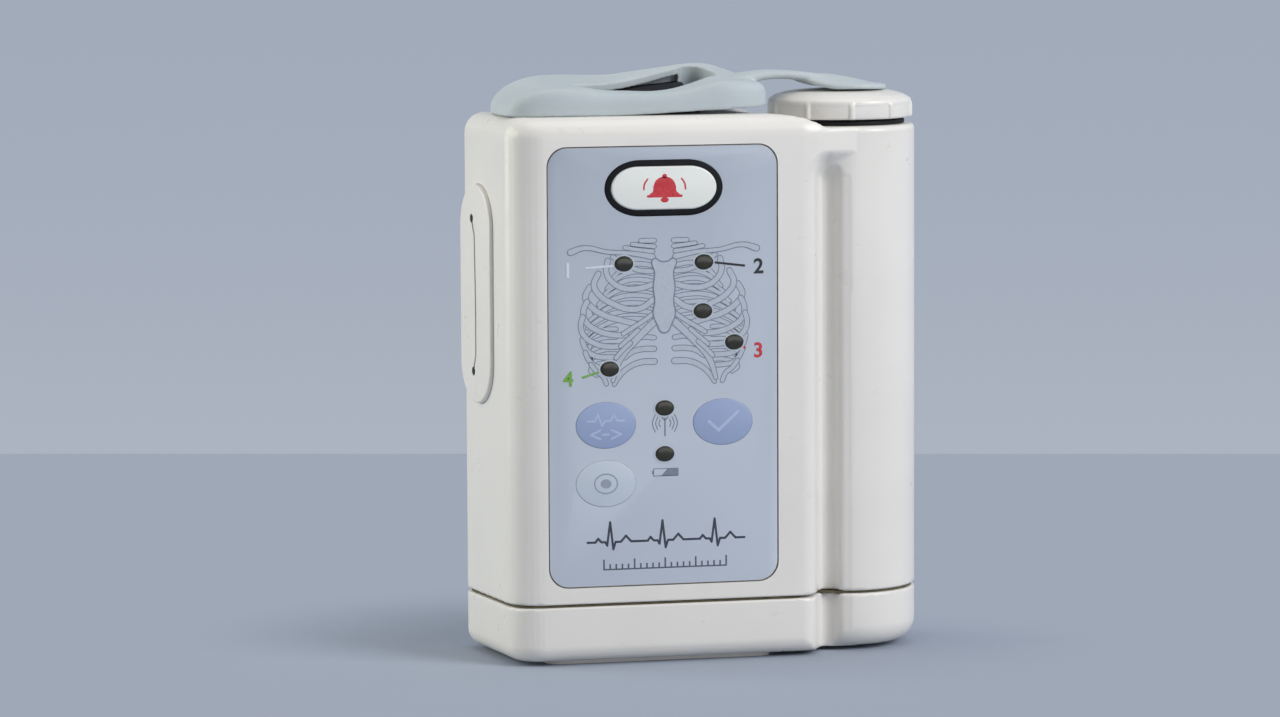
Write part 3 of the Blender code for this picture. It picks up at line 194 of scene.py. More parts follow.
def printInk(name, tone, worn):
    # Screen-printed ink: dense, matt, a little uneven where the mesh left it thin
    return plainFinish(name, (tone, worn), 0.8, 0.12, 0.002, (0.42, 0.52), 5, IOR=1.5)


def brushedSteel():
    # Stainless steel sheet, stamped: fine lines run along Z, worked out from a 0.15 mm brush
    finish, shader, place = newFinish("brushedSteel", Metallic=1.0)
    stretched = addNode(finish, "ShaderNodeMapping", {"Vector": place, "Scale": (1, 1, 0.06)})
    twoTone(finish, shader, stretched.outputs["Vector"], ("b9bcbe", "cdcfd0"), 0.15)
    grain(finish, shader, stretched.outputs["Vector"], 0.15, 0.004, (0.26, 0.4), 2)
    return finish


def boardLaminate():
    # Glass-epoxy board under green solder mask: the 0.6 mm glass weave shows faintly
    finish, shader, place = newFinish("boardLaminate", IOR=1.55, Coat_Weight=0.3, Coat_Roughness=0.2)
    weave = addNode(finish, "ShaderNodeTexWave", {"Vector": place, "Scale": perSize(0.6) / 6.3,
                                                  "Distortion": 0.4}, wave_type="BANDS", bands_direction="X")
    ramp = colourRamp(finish, weave.outputs["Fac"], ("12552f", "1a6a3b"))
    join(finish, ramp.outputs["Color"], shader.inputs["Base Color"])
    grain(finish, shader, place, 0.3, 0.005, (0.3, 0.42))
    return finish


finishes = {
    # ABS, injection moulded and lightly polished: warm white, a soft broad gloss over a very fine orange-peel
    "case": plainFinish("mouldedAbs", ("e2e0dc", "e6e4e0"), 22, 0.7, 0.004, (0.27, 0.36), IOR=1.54),
    # Overlay film: painted light, its colour runs lighter from the top of the sheet to its foot for the
    # floor's reflection
    "film": polyesterFilm("overlayFilm", ("a9b3c2", "c4cddb"), fade=(-107, -20)),
    "keyWhite": polyesterFilm("callKeyFilm", ("e3e7e4", "e9ece9"), (0.3, 0.4)),
    "keyBlue": polyesterFilm("blueKeyFilm", ("90a2c8", "96a7cc")),
    "keyPale": polyesterFilm("paleKeyFilm", ("bec9d7", "c2cdda")),
    # Silicone rubber, moulded: pale blue-grey, waxy, with a dusty bloom that lifts its edges
    "rubber": plainFinish("siliconeRubber", ("b3bec4", "b9c4c9"), 14, 0.5, 0.006, (0.42, 0.56), IOR=1.43,
                          Sheen_Weight=0.06, Sheen_Roughness=0.4, Subsurface_Weight=0.08,
                          Subsurface_Scale=0.002),
    # Nitrile rubber seal: near black, dull, with a slight moulding grain
    "seal": plainFinish("blackRubber", ("16171a", "1f2022"), 3, 0.35, 0.01, (0.55, 0.7), IOR=1.5,
                        Specular_IOR_Level=0.25),
    # Olive sponge gasket pressed in the seam: open cells at about 0.3 mm, no shine
    "gasket": plainFinish("foamGasket", ("55503a", "6a644b"), 1.5, 0.3, 0.04, (0.75, 0.9), IOR=1.45),
    # Glass-filled nylon, black: satin, with the faint marbling of its fibres
    "black": plainFinish("mouldedNylon", ("14171b", "1a1d21"), 4, 0.4, 0.008, (0.38, 0.5), IOR=1.53,
                         Specular_IOR_Level=0.1),
    # Smoked polycarbonate over a lamp: near black with an olive depth, and a clear gloss on top
    "lens": plainFinish("smokedLens", ("2b2d29", "35352c"), 1.6, 0.5, 0.002, (0.16, 0.24), IOR=1.58,
                        Specular_IOR_Level=0.2, Coat_Weight=0.12, Coat_Roughness=0.08),
    "steel": brushedSteel(),
    # Gold-flashed brass contacts: warm, bright, slightly clouded
    "brass": plainFinish("platedBrass", ("e0b865", "efcd86"), 1.2, 0.2, 0.003, (0.18, 0.3), Metallic=1.0),
    "board": boardLaminate(),
    # Shrink-wrapped cell: a deep blue sleeve
    "cell": plainFinish("cellSleeve", ("1d2c4a", "25365a"), 8, 0.6, 0.005, (0.22, 0.34), IOR=1.5,
                        Coat_Weight=0.5, Coat_Roughness=0.15),
}
# The film's cut edge takes a dark olive: partly its own tone, partly painted shade of the gap round the film
inkTones = {"filmEdgeToneAndShade": ("62594c", "766c5c"), "inkDark": ("2c3344", "353d50"),
            "inkBlack": ("15181d", "1f2329"), "inkLine": ("717c8d", "7a8596"),
            "inkBone": ("b0bac8", "b6c0cd"), "inkGrey": ("727c8b", "7c8695"),
            "inkHalo": ("b9c3d2", "c0c9d6"), "inkPaleBlue": ("a9b7da", "b1bedd"),
            "inkSign": ("8d98a8", "97a1b0"), "inkTick": ("474f60", "525a6b"),
            "inkWhite": ("cfd7e2", "d8dfe8"), "inkRed": ("c0202f", "cf3341"),
            "inkGreen": ("6aa53c", "79b14c")}
finishes.update({name: printInk(name, *tones) for name, tones in inkTones.items()})
print("finishes made")


# Shaping
mergeDistance = 0.0005 * mm


def metres(**sizes):
    return {name: size * mm for name, size in sizes.items()}


def table(*rows):
    return [tuple(value * mm for value in row) for row in rows]


def raiseFaces(shape, faces, height):
    raised = bmesh.ops.extrude_face_region(shape, geom=faces)["geom"]
    verts = [v for v in raised if isinstance(v, bmesh.types.BMVert)]
    bmesh.ops.translate(shape, verts=verts, vec=(0, 0, height))


def raiseOutline(corners, low, high, shape=None):
    # A few corners in plan, raised from low to high
    shape = shape or bmesh.new()
    raiseFaces(shape, [shape.faces.new([shape.verts.new((x, y, low)) for x, y in corners])], high - low)
    bmesh.ops.recalc_face_normals(shape, faces=shape.faces)
    return shape


def boxCorners(x, y, halfX, halfY):
    return [(x - halfX, y - halfY), (x + halfX, y - halfY), (x + halfX, y + halfY), (x - halfX, y + halfY)]


def bevelWhere(shape, test, offset, segments=8):
    bmesh.ops.bevel(shape, geom=[e for e in shape.edges if test(e)], offset=offset, offset_type="OFFSET",
                    affect="EDGES", segments=segments, profile=0.5, material=-1, clamp_overlap=False)


def tallerThan(height):
    return lambda e: abs(e.verts[0].co.z - e.verts[1].co.z) > height


def roundCorners(shape, tall, radius, segments):
    # Rounds the upright corners of a plate, up to full round ends
    bevelWhere(shape, tallerThan(tall), radius, segments)
    bmesh.ops.remove_doubles(shape, verts=shape.verts, dist=10 * mergeDistance)
    bmesh.ops.dissolve_degenerate(shape, edges=shape.edges, dist=mergeDistance)


def uprightAt(x, y):
    return lambda e: all(hypot(v.co.x - x, v.co.y - y) < 0.01 * mm for v in e.verts)


def levelAt(z):
    return lambda e: all(abs(v.co.z - z) < 0.01 * mm for v in e.verts)


def spinProfile(profile, centre, steps=96, shape=None):
    # A closed line of (radius, height) corners, spun round an upright line
    shape = shape or bmesh.new()
    verts = [shape.verts.new((centre[0] + radius, centre[1], height)) for radius, height in profile]
    edges = [shape.edges.new(pair) for pair in zip(verts, verts[1:] + verts[:1])]
    bmesh.ops.spin(shape, geom=verts + edges, cent=(*centre, 0), axis=(0, 0, 1), angle=2 * pi, steps=steps,
                   use_merge=True)
    bmesh.ops.remove_doubles(shape, verts=shape.verts, dist=mergeDistance)
    bmesh.ops.delete(shape, geom=[e for e in shape.edges if not e.link_faces], context="EDGES")
    bmesh.ops.recalc_face_normals(shape, faces=shape.faces)
    return shape


def roundedProfile(corners, segments=6):
    # (radius, height, rounding) corners, each rounding made by a bevel of the corner
    line = bmesh.new()
    verts = [line.verts.new((radius, 0, height)) for radius, height, _ in corners]
    line.faces.new(verts)
    for (*_, rounding), vert in zip(corners, verts):
        if rounding:
            bmesh.ops.bevel(line, geom=[vert], offset=rounding, offset_type="OFFSET", affect="VERTICES",
                            segments=segments, profile=0.5, material=-1, clamp_overlap=False)
    profile = [(v.co.x, v.co.z) for v in line.faces[:][0].verts]
    line.free()
    return profile


def loft(rings):
    # Loops of equal length, joined one after another and closed at both ends
    shape = bmesh.new()
    loops = []
    for ring in rings:
        made = bmesh.ops.create_circle(shape, segments=len(ring), radius=mm)["verts"]
        for vert, place in zip(made, ring):
            vert.co = place
        loops.append([e for e in shape.edges if e.verts[0] in made and e.verts[1] in made])
    for before, after in zip(loops, loops[1:]):
        bmesh.ops.bridge_loops(shape, edges=before + after)
    bmesh.ops.holes_fill(shape, edges=loops[0] + loops[-1], sides=0)
    bmesh.ops.recalc_face_normals(shape, faces=shape.faces)
    return shape


def newObject(name, shape, merge=True):
    if merge:
        bmesh.ops.remove_doubles(shape, verts=shape.verts, dist=mergeDistance)
    bmesh.ops.recalc_face_normals(shape, faces=shape.faces)
    mesh = bpy.data.meshes.new(name)
    shape.to_mesh(mesh)
    shape.free()
    return addObject(name, mesh)


def applyAll(piece):
    bpy.context.view_layer.update()
    shown = piece.evaluated_get(bpy.context.evaluated_depsgraph_get())
    old = piece.data
    piece.data = bpy.data.meshes.new_from_object(shown)
    piece.modifiers.clear()
    bpy.data.meshes.remove(old)


def withBoolean(piece, shape, operation="DIFFERENCE"):
    other = newObject(piece.name + "Tool", shape)
    added = piece.modifiers.new("boolean", "BOOLEAN")
    added.operation, added.object, added.solver = operation, other, "EXACT"
    applyAll(piece)
    bpy.data.objects.remove(other)


def softenAll(piece, voxel, rounds, settle=0.0, flatAngle=0.25):
    # Rebuilds a solid in even small cells and rubs its edges down. With settle, what barely moved goes back
    # on the true surface, and the cells of each flat face are joined again
    trueSurface = bmesh.new()
    trueSurface.from_mesh(piece.data)
    tree = BVHTree.FromBMesh(trueSurface)
    remesh = piece.modifiers.new("remesh", "REMESH")
    remesh.mode, remesh.voxel_size = "VOXEL", voxel
    rub = piece.modifiers.new("smooth", "SMOOTH")
    rub.factor, rub.iterations = 0.5, rounds
    applyAll(piece)
    if settle:
        for vert in piece.data.vertices:
            place, _, _, distance = tree.find_nearest(vert.co)
            keep = min(1, max(0, 2 - distance / settle))
            vert.co = vert.co.lerp(place, keep)
        shape = bmesh.new()
        shape.from_mesh(piece.data)
        bmesh.ops.dissolve_limit(shape, angle_limit=radians(flatAngle), verts=shape.verts, edges=shape.edges)
        shape.to_mesh(piece.data)
        shape.free()
    trueSurface.free()


def dress(piece, surface, body, stands=(), sharp=38, weighted=False):
    # Gives a piece its finish, its smooth faces and the body that it rides on
    piece.data.materials.clear()
    for entry in surface if isinstance(surface, tuple) else (surface,):
        piece.data.materials.append(finishes[entry])
    piece.data.shade_smooth()
    piece.data.set_sharp_from_angle(angle=radians(sharp))
    if weighted:
        level = piece.modifiers.new("weightedNormals", "WEIGHTED_NORMAL")
        level.keep_sharp, level.weight = True, 60
    if isinstance(body, str):
        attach(piece, body)
    if stands:
        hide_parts(*stands)
    return piece


# Case: the box, the round battery bay beside it and the groove between them
case = metres(front=-17.6, back=17.6, halfFront=31.7, top=113.0, base=0.8, coverTop=12.3, shellLow=12.8,
              frontRadius=6.3, backRadius=6.0, topRounding=4.2, baseRounding=3.4, wall=2.6, cavityRight=27.0,
              bayX=43.0, bayY=1.9, bayRadius=15.7, bayRounding=1.1, bayBaseRounding=4.6, shoulder=110.0,
              neckBore=11.1, bridgeStart=31.5, bridgeRadius=2.0, footLength=48.0,
              footWidth=27.0, footRadius=3.0)
wellEdge = table((19.3, 110.0), (20.6, 111.3), (21.6, 112.1), (22.8, 112.7), (24.5, 113.0))
groove = metres(start=31.6, run=4.0, depth=7.0, edgeRadius=3.8, top=106.2, fade=6.5)
slotLine = table((33.3, -14.7), (33.9, -13.0), (34.7, -11.6), (35.6, -10.5), (36.3, -10.0), (37.1, -10.3),
                 (37.9, -10.65), (38.3, -11.3), (38.6, -12.3), (39.1, -12.95), (39.8, -13.3), (40.7, -13.52),
                 (41.6, -13.9))
sideSlant = radians(6.8)
bayCentre = (case["bayX"], case["bayY"])
backLeft = -case["halfFront"] - (case["back"] - case["front"]) * tan(sideSlant)
bridgeEnd = case["bayY"] - case["bayRadius"] + 0.3 * mm
voxelSize = 0.45 * mm
baySteps = 400


def caseBlock(low, high, roundedLevel, rounding):
    left, bridge = (-case["halfFront"], case["front"]), (case["bridgeStart"], case["front"])
    back = (backLeft, case["back"])
    plan = [left, bridge, (case["bayX"], bridgeEnd), (case["bayX"], case["back"]), back]
    shape = raiseOutline(plan, low, high)
    for corner, radius in ((left, "frontRadius"), (back, "backRadius"), (bridge, "bridgeRadius")):
        bevelWhere(shape, uprightAt(*corner), case[radius])
    rim, inBay = levelAt(roundedLevel), lambda e: all(abs(v.co.x - case["bayX"]) < 0.01 * mm for v in e.verts)
    bevelWhere(shape, lambda e: rim(e) and not inBay(e), rounding)
    return shape


def surfaceLine(x):
    # Where the front of the case runs over the groove, a little outside it
    share = max(0, (x - case["bridgeStart"]) / (case["bayX"] - case["bridgeStart"]))
    return case["front"] + share * (bridgeEnd - case["front"]) - 0.3 * mm


def grooveShape(profile, low, high, fade):
    # The corner between the box and the bay: it runs out softly over its last few millimetres
    rings = []
    shares = [step / 10 for step in range(11 if fade else 1)]
    for level, share in [(low, 1)] + [(high - fade * (1 - s), (1 + cos(pi * s)) / 2) for s in shares]:
        cut = [(x, surfaceLine(x) + share * (y - surfaceLine(x))) for x, y in profile]
        plan = [(cut[0][0], case["front"] - 2 * mm)] + cut + [(cut[-1][0], case["front"] - 2 * mm)]
        rings.append([Vector((x, y, level)) for x, y in plan])
    return loft(rings)


def cutGroove(piece, low, high, fade):
    # First the corner of the box goes, before the bay is joined on
    slope = atan2(groove["depth"], groove["run"])
    start, radius = groove["start"] - groove["edgeRadius"] * tan(slope / 2), groove["edgeRadius"]
    lip = [(start + radius * sin(slope * step / 8), case["front"] + radius * (1 - cos(slope * step / 8)))
           for step in range(9)]
    deep = case["front"] + groove["depth"]
    wall = [(lip[-1][0] + (deep - lip[-1][1]) / tan(slope), deep), (case["bayX"] + mm, deep)]
    withBoolean(piece, grooveShape(lip + wall, low, high, fade))


def innerBlock(inset, right, low, high, shape=None):
    # The room inside the box, its walls running along the case's own
    front, back = case["front"] + inset, case["back"] - inset
    left = -case["halfFront"] + inset / cos(sideSlant)
    return raiseOutline([(left - inset * tan(sideSlant), front), (right, front), (right, back),
                         (left - (back - case["front"]) * tan(sideSlant), back)], low, high, shape)


def bayBore(low, high, shape):
    inner = case["bayRadius"] - case["wall"]
    return spinProfile([(0, low), (inner, low), (inner, high), (0, high)], bayCentre, 64, shape)


def makeHousing():
    low, top, shoulder = case["shellLow"], case["top"], case["shoulder"]
    housing = newObject("housing", caseBlock(low, top, top, case["topRounding"]))
    cutGroove(housing, low - mm, groove["top"], groove["fade"])
    bay = roundedProfile([(0, low, 0), (case["bayRadius"], low, 0),
                          (case["bayRadius"], shoulder, case["bayRounding"]), (0, shoulder, 0)])
    withBoolean(housing, spinProfile(bay, bayCentre, baySteps), "UNION")
    withBoolean(housing, grooveShape(slotLine, low - mm, groove["top"] - 0.5 * mm, groove["fade"]))
    well = [(0, shoulder)] + wellEdge + [(wellEdge[-1][0], top + mm), (0, top + mm)]
    withBoolean(housing, spinProfile(well, bayCentre, baySteps))
    softenAll(housing, voxelSize, 6, 0.05 * mm)
    return housing


housing = makeHousing()
print("housing shaped:", len(housing.data.polygons), "faces")

# Front panel sizes, as (x, z) places seen from the front
panel = metres(middle=-0.2, width=48.6, low=16.4, high=107.0, radius=4.2, inset=0.15, thickness=0.8, gap=0.14)
callKey = metres(z=98.4, width=22.3, height=8.9, ring=1.3, proud=0.45)
keySize = metres(width=12.7, height=9.6, proud=0.1, gap=0.02, stemEnd=-12.8)
keyNames, lampNames = ("lead_select_key", "check_key", "record_key"), (
    "upper_left", "upper_right", "chest", "lower_right", "lower_left", "signal", "battery")
keyPlaces = dict(zip(keyNames, table((-12.45, 49.8), (12.35, 49.8), (-12.5, 37.7))))
lampSize = metres(width=3.9, height=3.1, gap=0.06)
lampPlaces = dict(zip(lampNames, table((-8.5, 82.95), (8.45, 82.95), (8.2, 72.85), (14.85, 66.25),
                                       (-11.6, 61.4), (0, 53.0), (0, 43.5))))
toFront = Matrix.Rotation(pi / 2, 4, "X")  # a shape drawn in plan stands up to face the front
callStretch = 1.3  # the call key's ends are longer than they are high


def placed(part, matrix, shape=None):
    # Moves a part to its place, and adds it to the shape where one is given
    bmesh.ops.transform(part, matrix=matrix, verts=part.verts)
    if shape is None:
        return part
    holder = bpy.data.meshes.new("holder")
    part.to_mesh(holder)
    part.free()
    shape.from_mesh(holder)
    bpy.data.meshes.remove(holder)
    return shape


def ovalPart(height, segments, matrix):
    # A disc of unit width, moved by the matrix and then raised
    part = bmesh.new()
    bmesh.ops.create_circle(part, cap_ends=True, radius=0.5, segments=segments)
    bmesh.ops.transform(part, matrix=matrix, verts=part.verts)
    raiseFaces(part, part.faces[:], height)
    return part


def boxPart(half, low, high, radius, segments, middle=(0, 0)):
    part = raiseOutline(boxCorners(*middle, *half), low, high)
    roundCorners(part, (high - low) / 2, min(radius, *half), segments)
    return part


def frontOval(x, z, width, height, near, far, shape=None, segments=72):
    at = Matrix.Translation((x, z, -far)) @ Matrix.Diagonal((width, height, 1, 1))
    return placed(ovalPart(far - near, segments, at), toFront, shape)


def frontBox(x, z, width, height, radius, near, far, shape=None, stretch=1.0, segments=12):
    part = boxPart((width / 2 / stretch, height / 2), -far, -near, radius, segments)
    return placed(part, toFront @ Matrix.Translation((x, z, 0)) @ Matrix.Diagonal((stretch, 1, 1, 1)), shape)


def callShape(grow, near, far, shape=None):
    width, height = callKey["width"] + 2 * grow, callKey["height"] + 2 * grow
    return frontBox(0, callKey["z"], width, height, height, near, far, shape, callStretch, 20)


# Side door: a rounded plate over the side port, the half in front of its hinge folding open
door = metres(middle=21.4, halfWidth=8.85, low=52.9, high=98.5, proud=1.25, thickness=2.05, lean=0.4,
              gap=0.12, slitWidth=0.75, hairline=0.04, holeSize=1.9, rim=0.5, portLength=22.0, portWidth=6.4,
              portAlong=16.2, hinge=20.8)
foldLine = table((23.0, 91.0), (21.5, 87.9), (20.98, 74.5), (21.05, 63.0), (21.29, 62.4), (22.35, 59.8))
doorHoles = table((23.1, 91.3), (22.5, 59.5))
# The slanted left side's own axes: along it, up, and out of it
sidePlane = Matrix(((-sin(sideSlant), 0, -cos(sideSlant), -case["halfFront"]),
                    (cos(sideSlant), 0, -sin(sideSlant), case["front"]), (0, 1, 0, 0), (0, 0, 0, 1)))


def sideBox(along, height, width, length, radius, inner, outer, shape=None):
    part = boxPart((width / 2, length / 2), inner, outer, radius, 16, (along, height))
    return placed(part, sidePlane, shape)


def cutOvals(places, size, grow, near, far, shape, segments):
    for x, z in places.values():
        frontOval(x, z, size["width"] + 2 * grow, size["height"] + 2 * grow, near, far, shape, segments)


def cutHousing(housing):
    low, top, wall = case["shellLow"], case["top"], case["wall"]
    inner, ledge = case["bayRadius"] - wall, case["shoulder"] - wall
    withBoolean(housing, innerBlock(wall, case["cavityRight"], low - mm, case["shoulder"] - 2 * wall))
    hollow = innerBlock(wall, 20 * mm, top - 5 * wall, top - wall)
    bore, above = case["neckBore"], case["shoulder"] + mm
    spinProfile([(0, low - mm), (inner, low - mm), (inner, ledge), (bore, ledge), (bore, above), (0, above)],
                bayCentre, 64, hollow)
    withBoolean(housing, hollow)
    depth = case["front"] + panel["inset"] + panel["thickness"] + 0.1 * mm
    middle, height = (panel["low"] + panel["high"]) / 2, panel["high"] - panel["low"] + 2 * panel["gap"]
    pockets = frontBox(panel["middle"], middle, panel["width"] + 2 * panel["gap"], height, panel["radius"],
                       case["front"] - mm, depth)
    doorMiddle, doorLength = (door["low"] + door["high"]) / 2, door["high"] - door["low"] + 2 * door["gap"]
    sideBox(door["middle"], doorMiddle, 2 * (door["halfWidth"] + door["gap"]), doorLength, 20 * mm,
            door["proud"] - door["thickness"] - 0.1 * mm, 2 * mm, pockets)
    withBoolean(housing, pockets)
    near, far = depth - 0.2 * mm, case["front"] + wall + mm
    holes = callShape(0.1 * mm, near, far)
    cutOvals(keyPlaces, keySize, 0.3 * mm, near, far, holes, 72)
    cutOvals(lampPlaces, lampSize, 0.3 * mm, near, far, holes, 32)
    sideBox(door["portAlong"], doorMiddle, door["portWidth"] + 0.2 * mm, door["portLength"] + 0.6 * mm,
            2.2 * mm, -wall - mm, 0.1 * mm, holes)
    raiseOutline(boxCorners(0, 0, 8.3 * mm, 3.3 * mm), top - wall - mm, top + mm, holes)  # for the socket
    withBoolean(housing, holes)
    return dress(housing, "case", "case", ("main_housing",), weighted=True)


cutHousing(housing)
print("housing cut:", len(housing.data.polygons), "faces")


def makeBottomCover():
    base, top, wall = case["base"], case["coverTop"], case["wall"]
    cover = newObject("bottomCover", caseBlock(base, top, base, case["baseRounding"]))
    cutGroove(cover, base - mm, top + mm, 0)
    radius = case["bayRadius"]
    bay = roundedProfile([(0, base, 0), (radius, base, case["bayBaseRounding"]), (radius, top, 0),
                          (0, top, 0)], 10)
    withBoolean(cover, spinProfile(bay, bayCentre, baySteps), "UNION")
    withBoolean(cover, grooveShape(slotLine, base - mm, top + mm, 0))
    foot = raiseOutline(boxCorners(0, 0, case["footLength"] / 2, case["footWidth"] / 2), 0, base + wall / 2)
    bevelWhere(foot, tallerThan(0.1 * mm), case["footRadius"])
    softenAll(cover, voxelSize, 6, 0.05 * mm)
    withBoolean(cover, foot, "UNION")
    hollow = innerBlock(wall, case["cavityRight"], base + wall, top + mm)
    withBoolean(cover, bayBore(base + wall, top + mm, hollow))
    wells, through = bmesh.new(), base + wall + mm
    for place in screwPlaces:
        spinProfile([(0, -mm), (screw["headWell"], -mm), (screw["headWell"], screw["wellTop"]),
                     (screw["bore"], screw["wellTop"]), (screw["bore"], through), (0, through)],
                    place, 40, wells)
    withBoolean(cover, wells)
    return dress(cover, "case", "case", ("bottom_cover",), weighted=True)


screw = metres(headWell=2.6, wellTop=2.2, bore=1.5, headRadius=2.3, headLow=0.5, headHigh=1.9, shank=1.2,
               end=15.0, slotWidth=0.55, slotLength=2.9, slotDepth=0.8)
screwPlaces = [(x * mm, y * mm) for x in (-19, 19) for y in (-8, 8)]


def makeScrew(number, place):
    radius, low, high, shank = (screw[name] for name in ("headRadius", "headLow", "headHigh", "shank"))
    head = roundedProfile([(0, low, 0), (radius, low, 0.35 * mm), (radius, high, 0), (shank, high, 0),
                           (shank, screw["end"], 0.4 * mm), (0, screw["end"], 0)], 4)
    made = newObject(f"coverScrew{number}", spinProfile(head, place, 40))
    for turn in (0, pi / 2):
        slot = bmesh.new()
        bmesh.ops.create_cube(slot, size=1)
        size = Matrix.Diagonal((screw["slotLength"], screw["slotWidth"], 2 * screw["slotDepth"], 1))
        at = Matrix.Translation((*place, low)) @ Matrix.Rotation(turn + 0.4 * number, 4, "Z")
        bmesh.ops.transform(slot, matrix=at @ size, verts=slot.verts)
        withBoolean(made, slot)
    return dress(made, "steel", "case", (f"cover_screw_{number}",))


cover = makeBottomCover()
for number, place in enumerate(screwPlaces, 1):
    makeScrew(number, place)
print("bottom cover made:", len(cover.data.polygons), "faces")


# Front panel: the film, its keys and its lamps
def filmFront(drop=0.0):
    return case["front"] + panel["inset"] - drop


def softEdge(shape, near, width, segments=4):
    # Rounds the rim of the face nearest the eye
    bevelWhere(shape, lambda e: all(abs(v.co.y - near) < 0.001 * mm for v in e.verts), width, segments)
    return shape


def makeOverlay():
    middle, height = (panel["low"] + panel["high"]) / 2, panel["high"] - panel["low"]
    near, far = filmFront(), filmFront() + panel["thickness"]
    film = frontBox(panel["middle"], middle, panel["width"], height, panel["radius"], near, far)
    sheet = newObject("frontFilm", softEdge(film, near, 0.12 * mm, 2))
    holes = callShape(callKey["ring"] + 0.05 * mm, near - mm, far + mm)
    cutOvals(keyPlaces, keySize, keySize["gap"], near - mm, far + mm, holes, 96)
    cutOvals(lampPlaces, lampSize, lampSize["gap"], near - mm, far + mm, holes, 48)
    withBoolean(sheet, holes)
    dress(sheet, ("film", "filmEdgeToneAndShade"), "case", ("front_overlay",), sharp=25)
    # Faces off the front take the edge's dark olive, partly painted shade of the gap
    for face in sheet.data.polygons:
        face.material_index = 1 if face.normal.y > -0.98 else 0


def makeCallKey():
    ringNear, far = filmFront(0.12 * mm), filmFront() + panel["thickness"]
    ring = newObject("callKeyRing", softEdge(callShape(callKey["ring"], ringNear, far), ringNear, 0.25 * mm))
    withBoolean(ring, callShape(0.06 * mm, ringNear - mm, far + mm))
    dress(ring, "black", "case", ("call_key_ring",), sharp=50)
    near, flange = filmFront(callKey["proud"]), case["front"] + case["wall"] + 0.05 * mm
    key = newObject("callKey", softEdge(callShape(0, near, flange + 0.4 * mm), near, 0.4 * mm, 6))
    withBoolean(key, callShape(0.9 * mm, flange, flange + 0.8 * mm), "UNION")
    addStem(key, 0, callKey["z"], flange + 0.4 * mm)
    dress(key, "keyWhite", "call_button", ("call_key",), sharp=50)


def addStem(key, x, z, near):
    withBoolean(key, frontOval(x, z, 3 * mm, 3 * mm, near, keySize["stemEnd"], None, 32), "UNION")


def makeOvalKey(name, body, finish):
    x, z = keyPlaces[name]
    near, flange = filmFront(keySize["proud"]), case["front"] + case["wall"] + 0.05 * mm
    face = frontOval(x, z, keySize["width"], keySize["height"], near, flange + 0.4 * mm, None, 96)
    key = newObject(name + "Cap", softEdge(face, near, 0.18 * mm))
    withBoolean(key, frontOval(x, z, keySize["width"] + 1.8 * mm, keySize["height"] + 1.8 * mm, flange,
                               flange + 0.8 * mm), "UNION")
    addStem(key, x, z, flange + 0.4 * mm)
    dress(key, finish, body, (name,), sharp=50)


def makeLamp(name):
    # A lens that stands a little proud of the film and its ink
    x, z = lampPlaces[name]
    near, far = filmFront(0.13 * mm), -12.5 * mm
    shape = frontOval(x, z, lampSize["width"], lampSize["height"], near, far, None, 48)
    front = [f for f in shape.faces if f.normal.y < -0.9]
    bmesh.ops.inset_region(shape, faces=front, thickness=0.3 * mm, depth=0.06 * mm)
    bmesh.ops.inset_region(shape, faces=front, thickness=0.5 * mm, depth=0.05 * mm)
    lens = newObject(name + "Lens", shape)
    dress(lens, "lens", "case", (name + "_lamp_window",), sharp=60)


makeOverlay()
makeCallKey()
makeOvalKey("lead_select_key", "lead_select_button", "keyBlue")
makeOvalKey("check_key", "check_button", "keyBlue")
makeOvalKey("record_key", "record_button", "keyPale")
for name in lampPlaces:
    makeLamp(name)
print("front panel made")


# Printing: every line is a curve laid on the film as a thin layer of ink, the later ones over the earlier
inkPitch = 0.003 * mm


def ringPoints(x, z, reachX, reachZ, count=16):
    return [(x + reachX * cos(2 * pi * step / count), z + reachZ * sin(2 * pi * step / count))
            for step in range(count)]


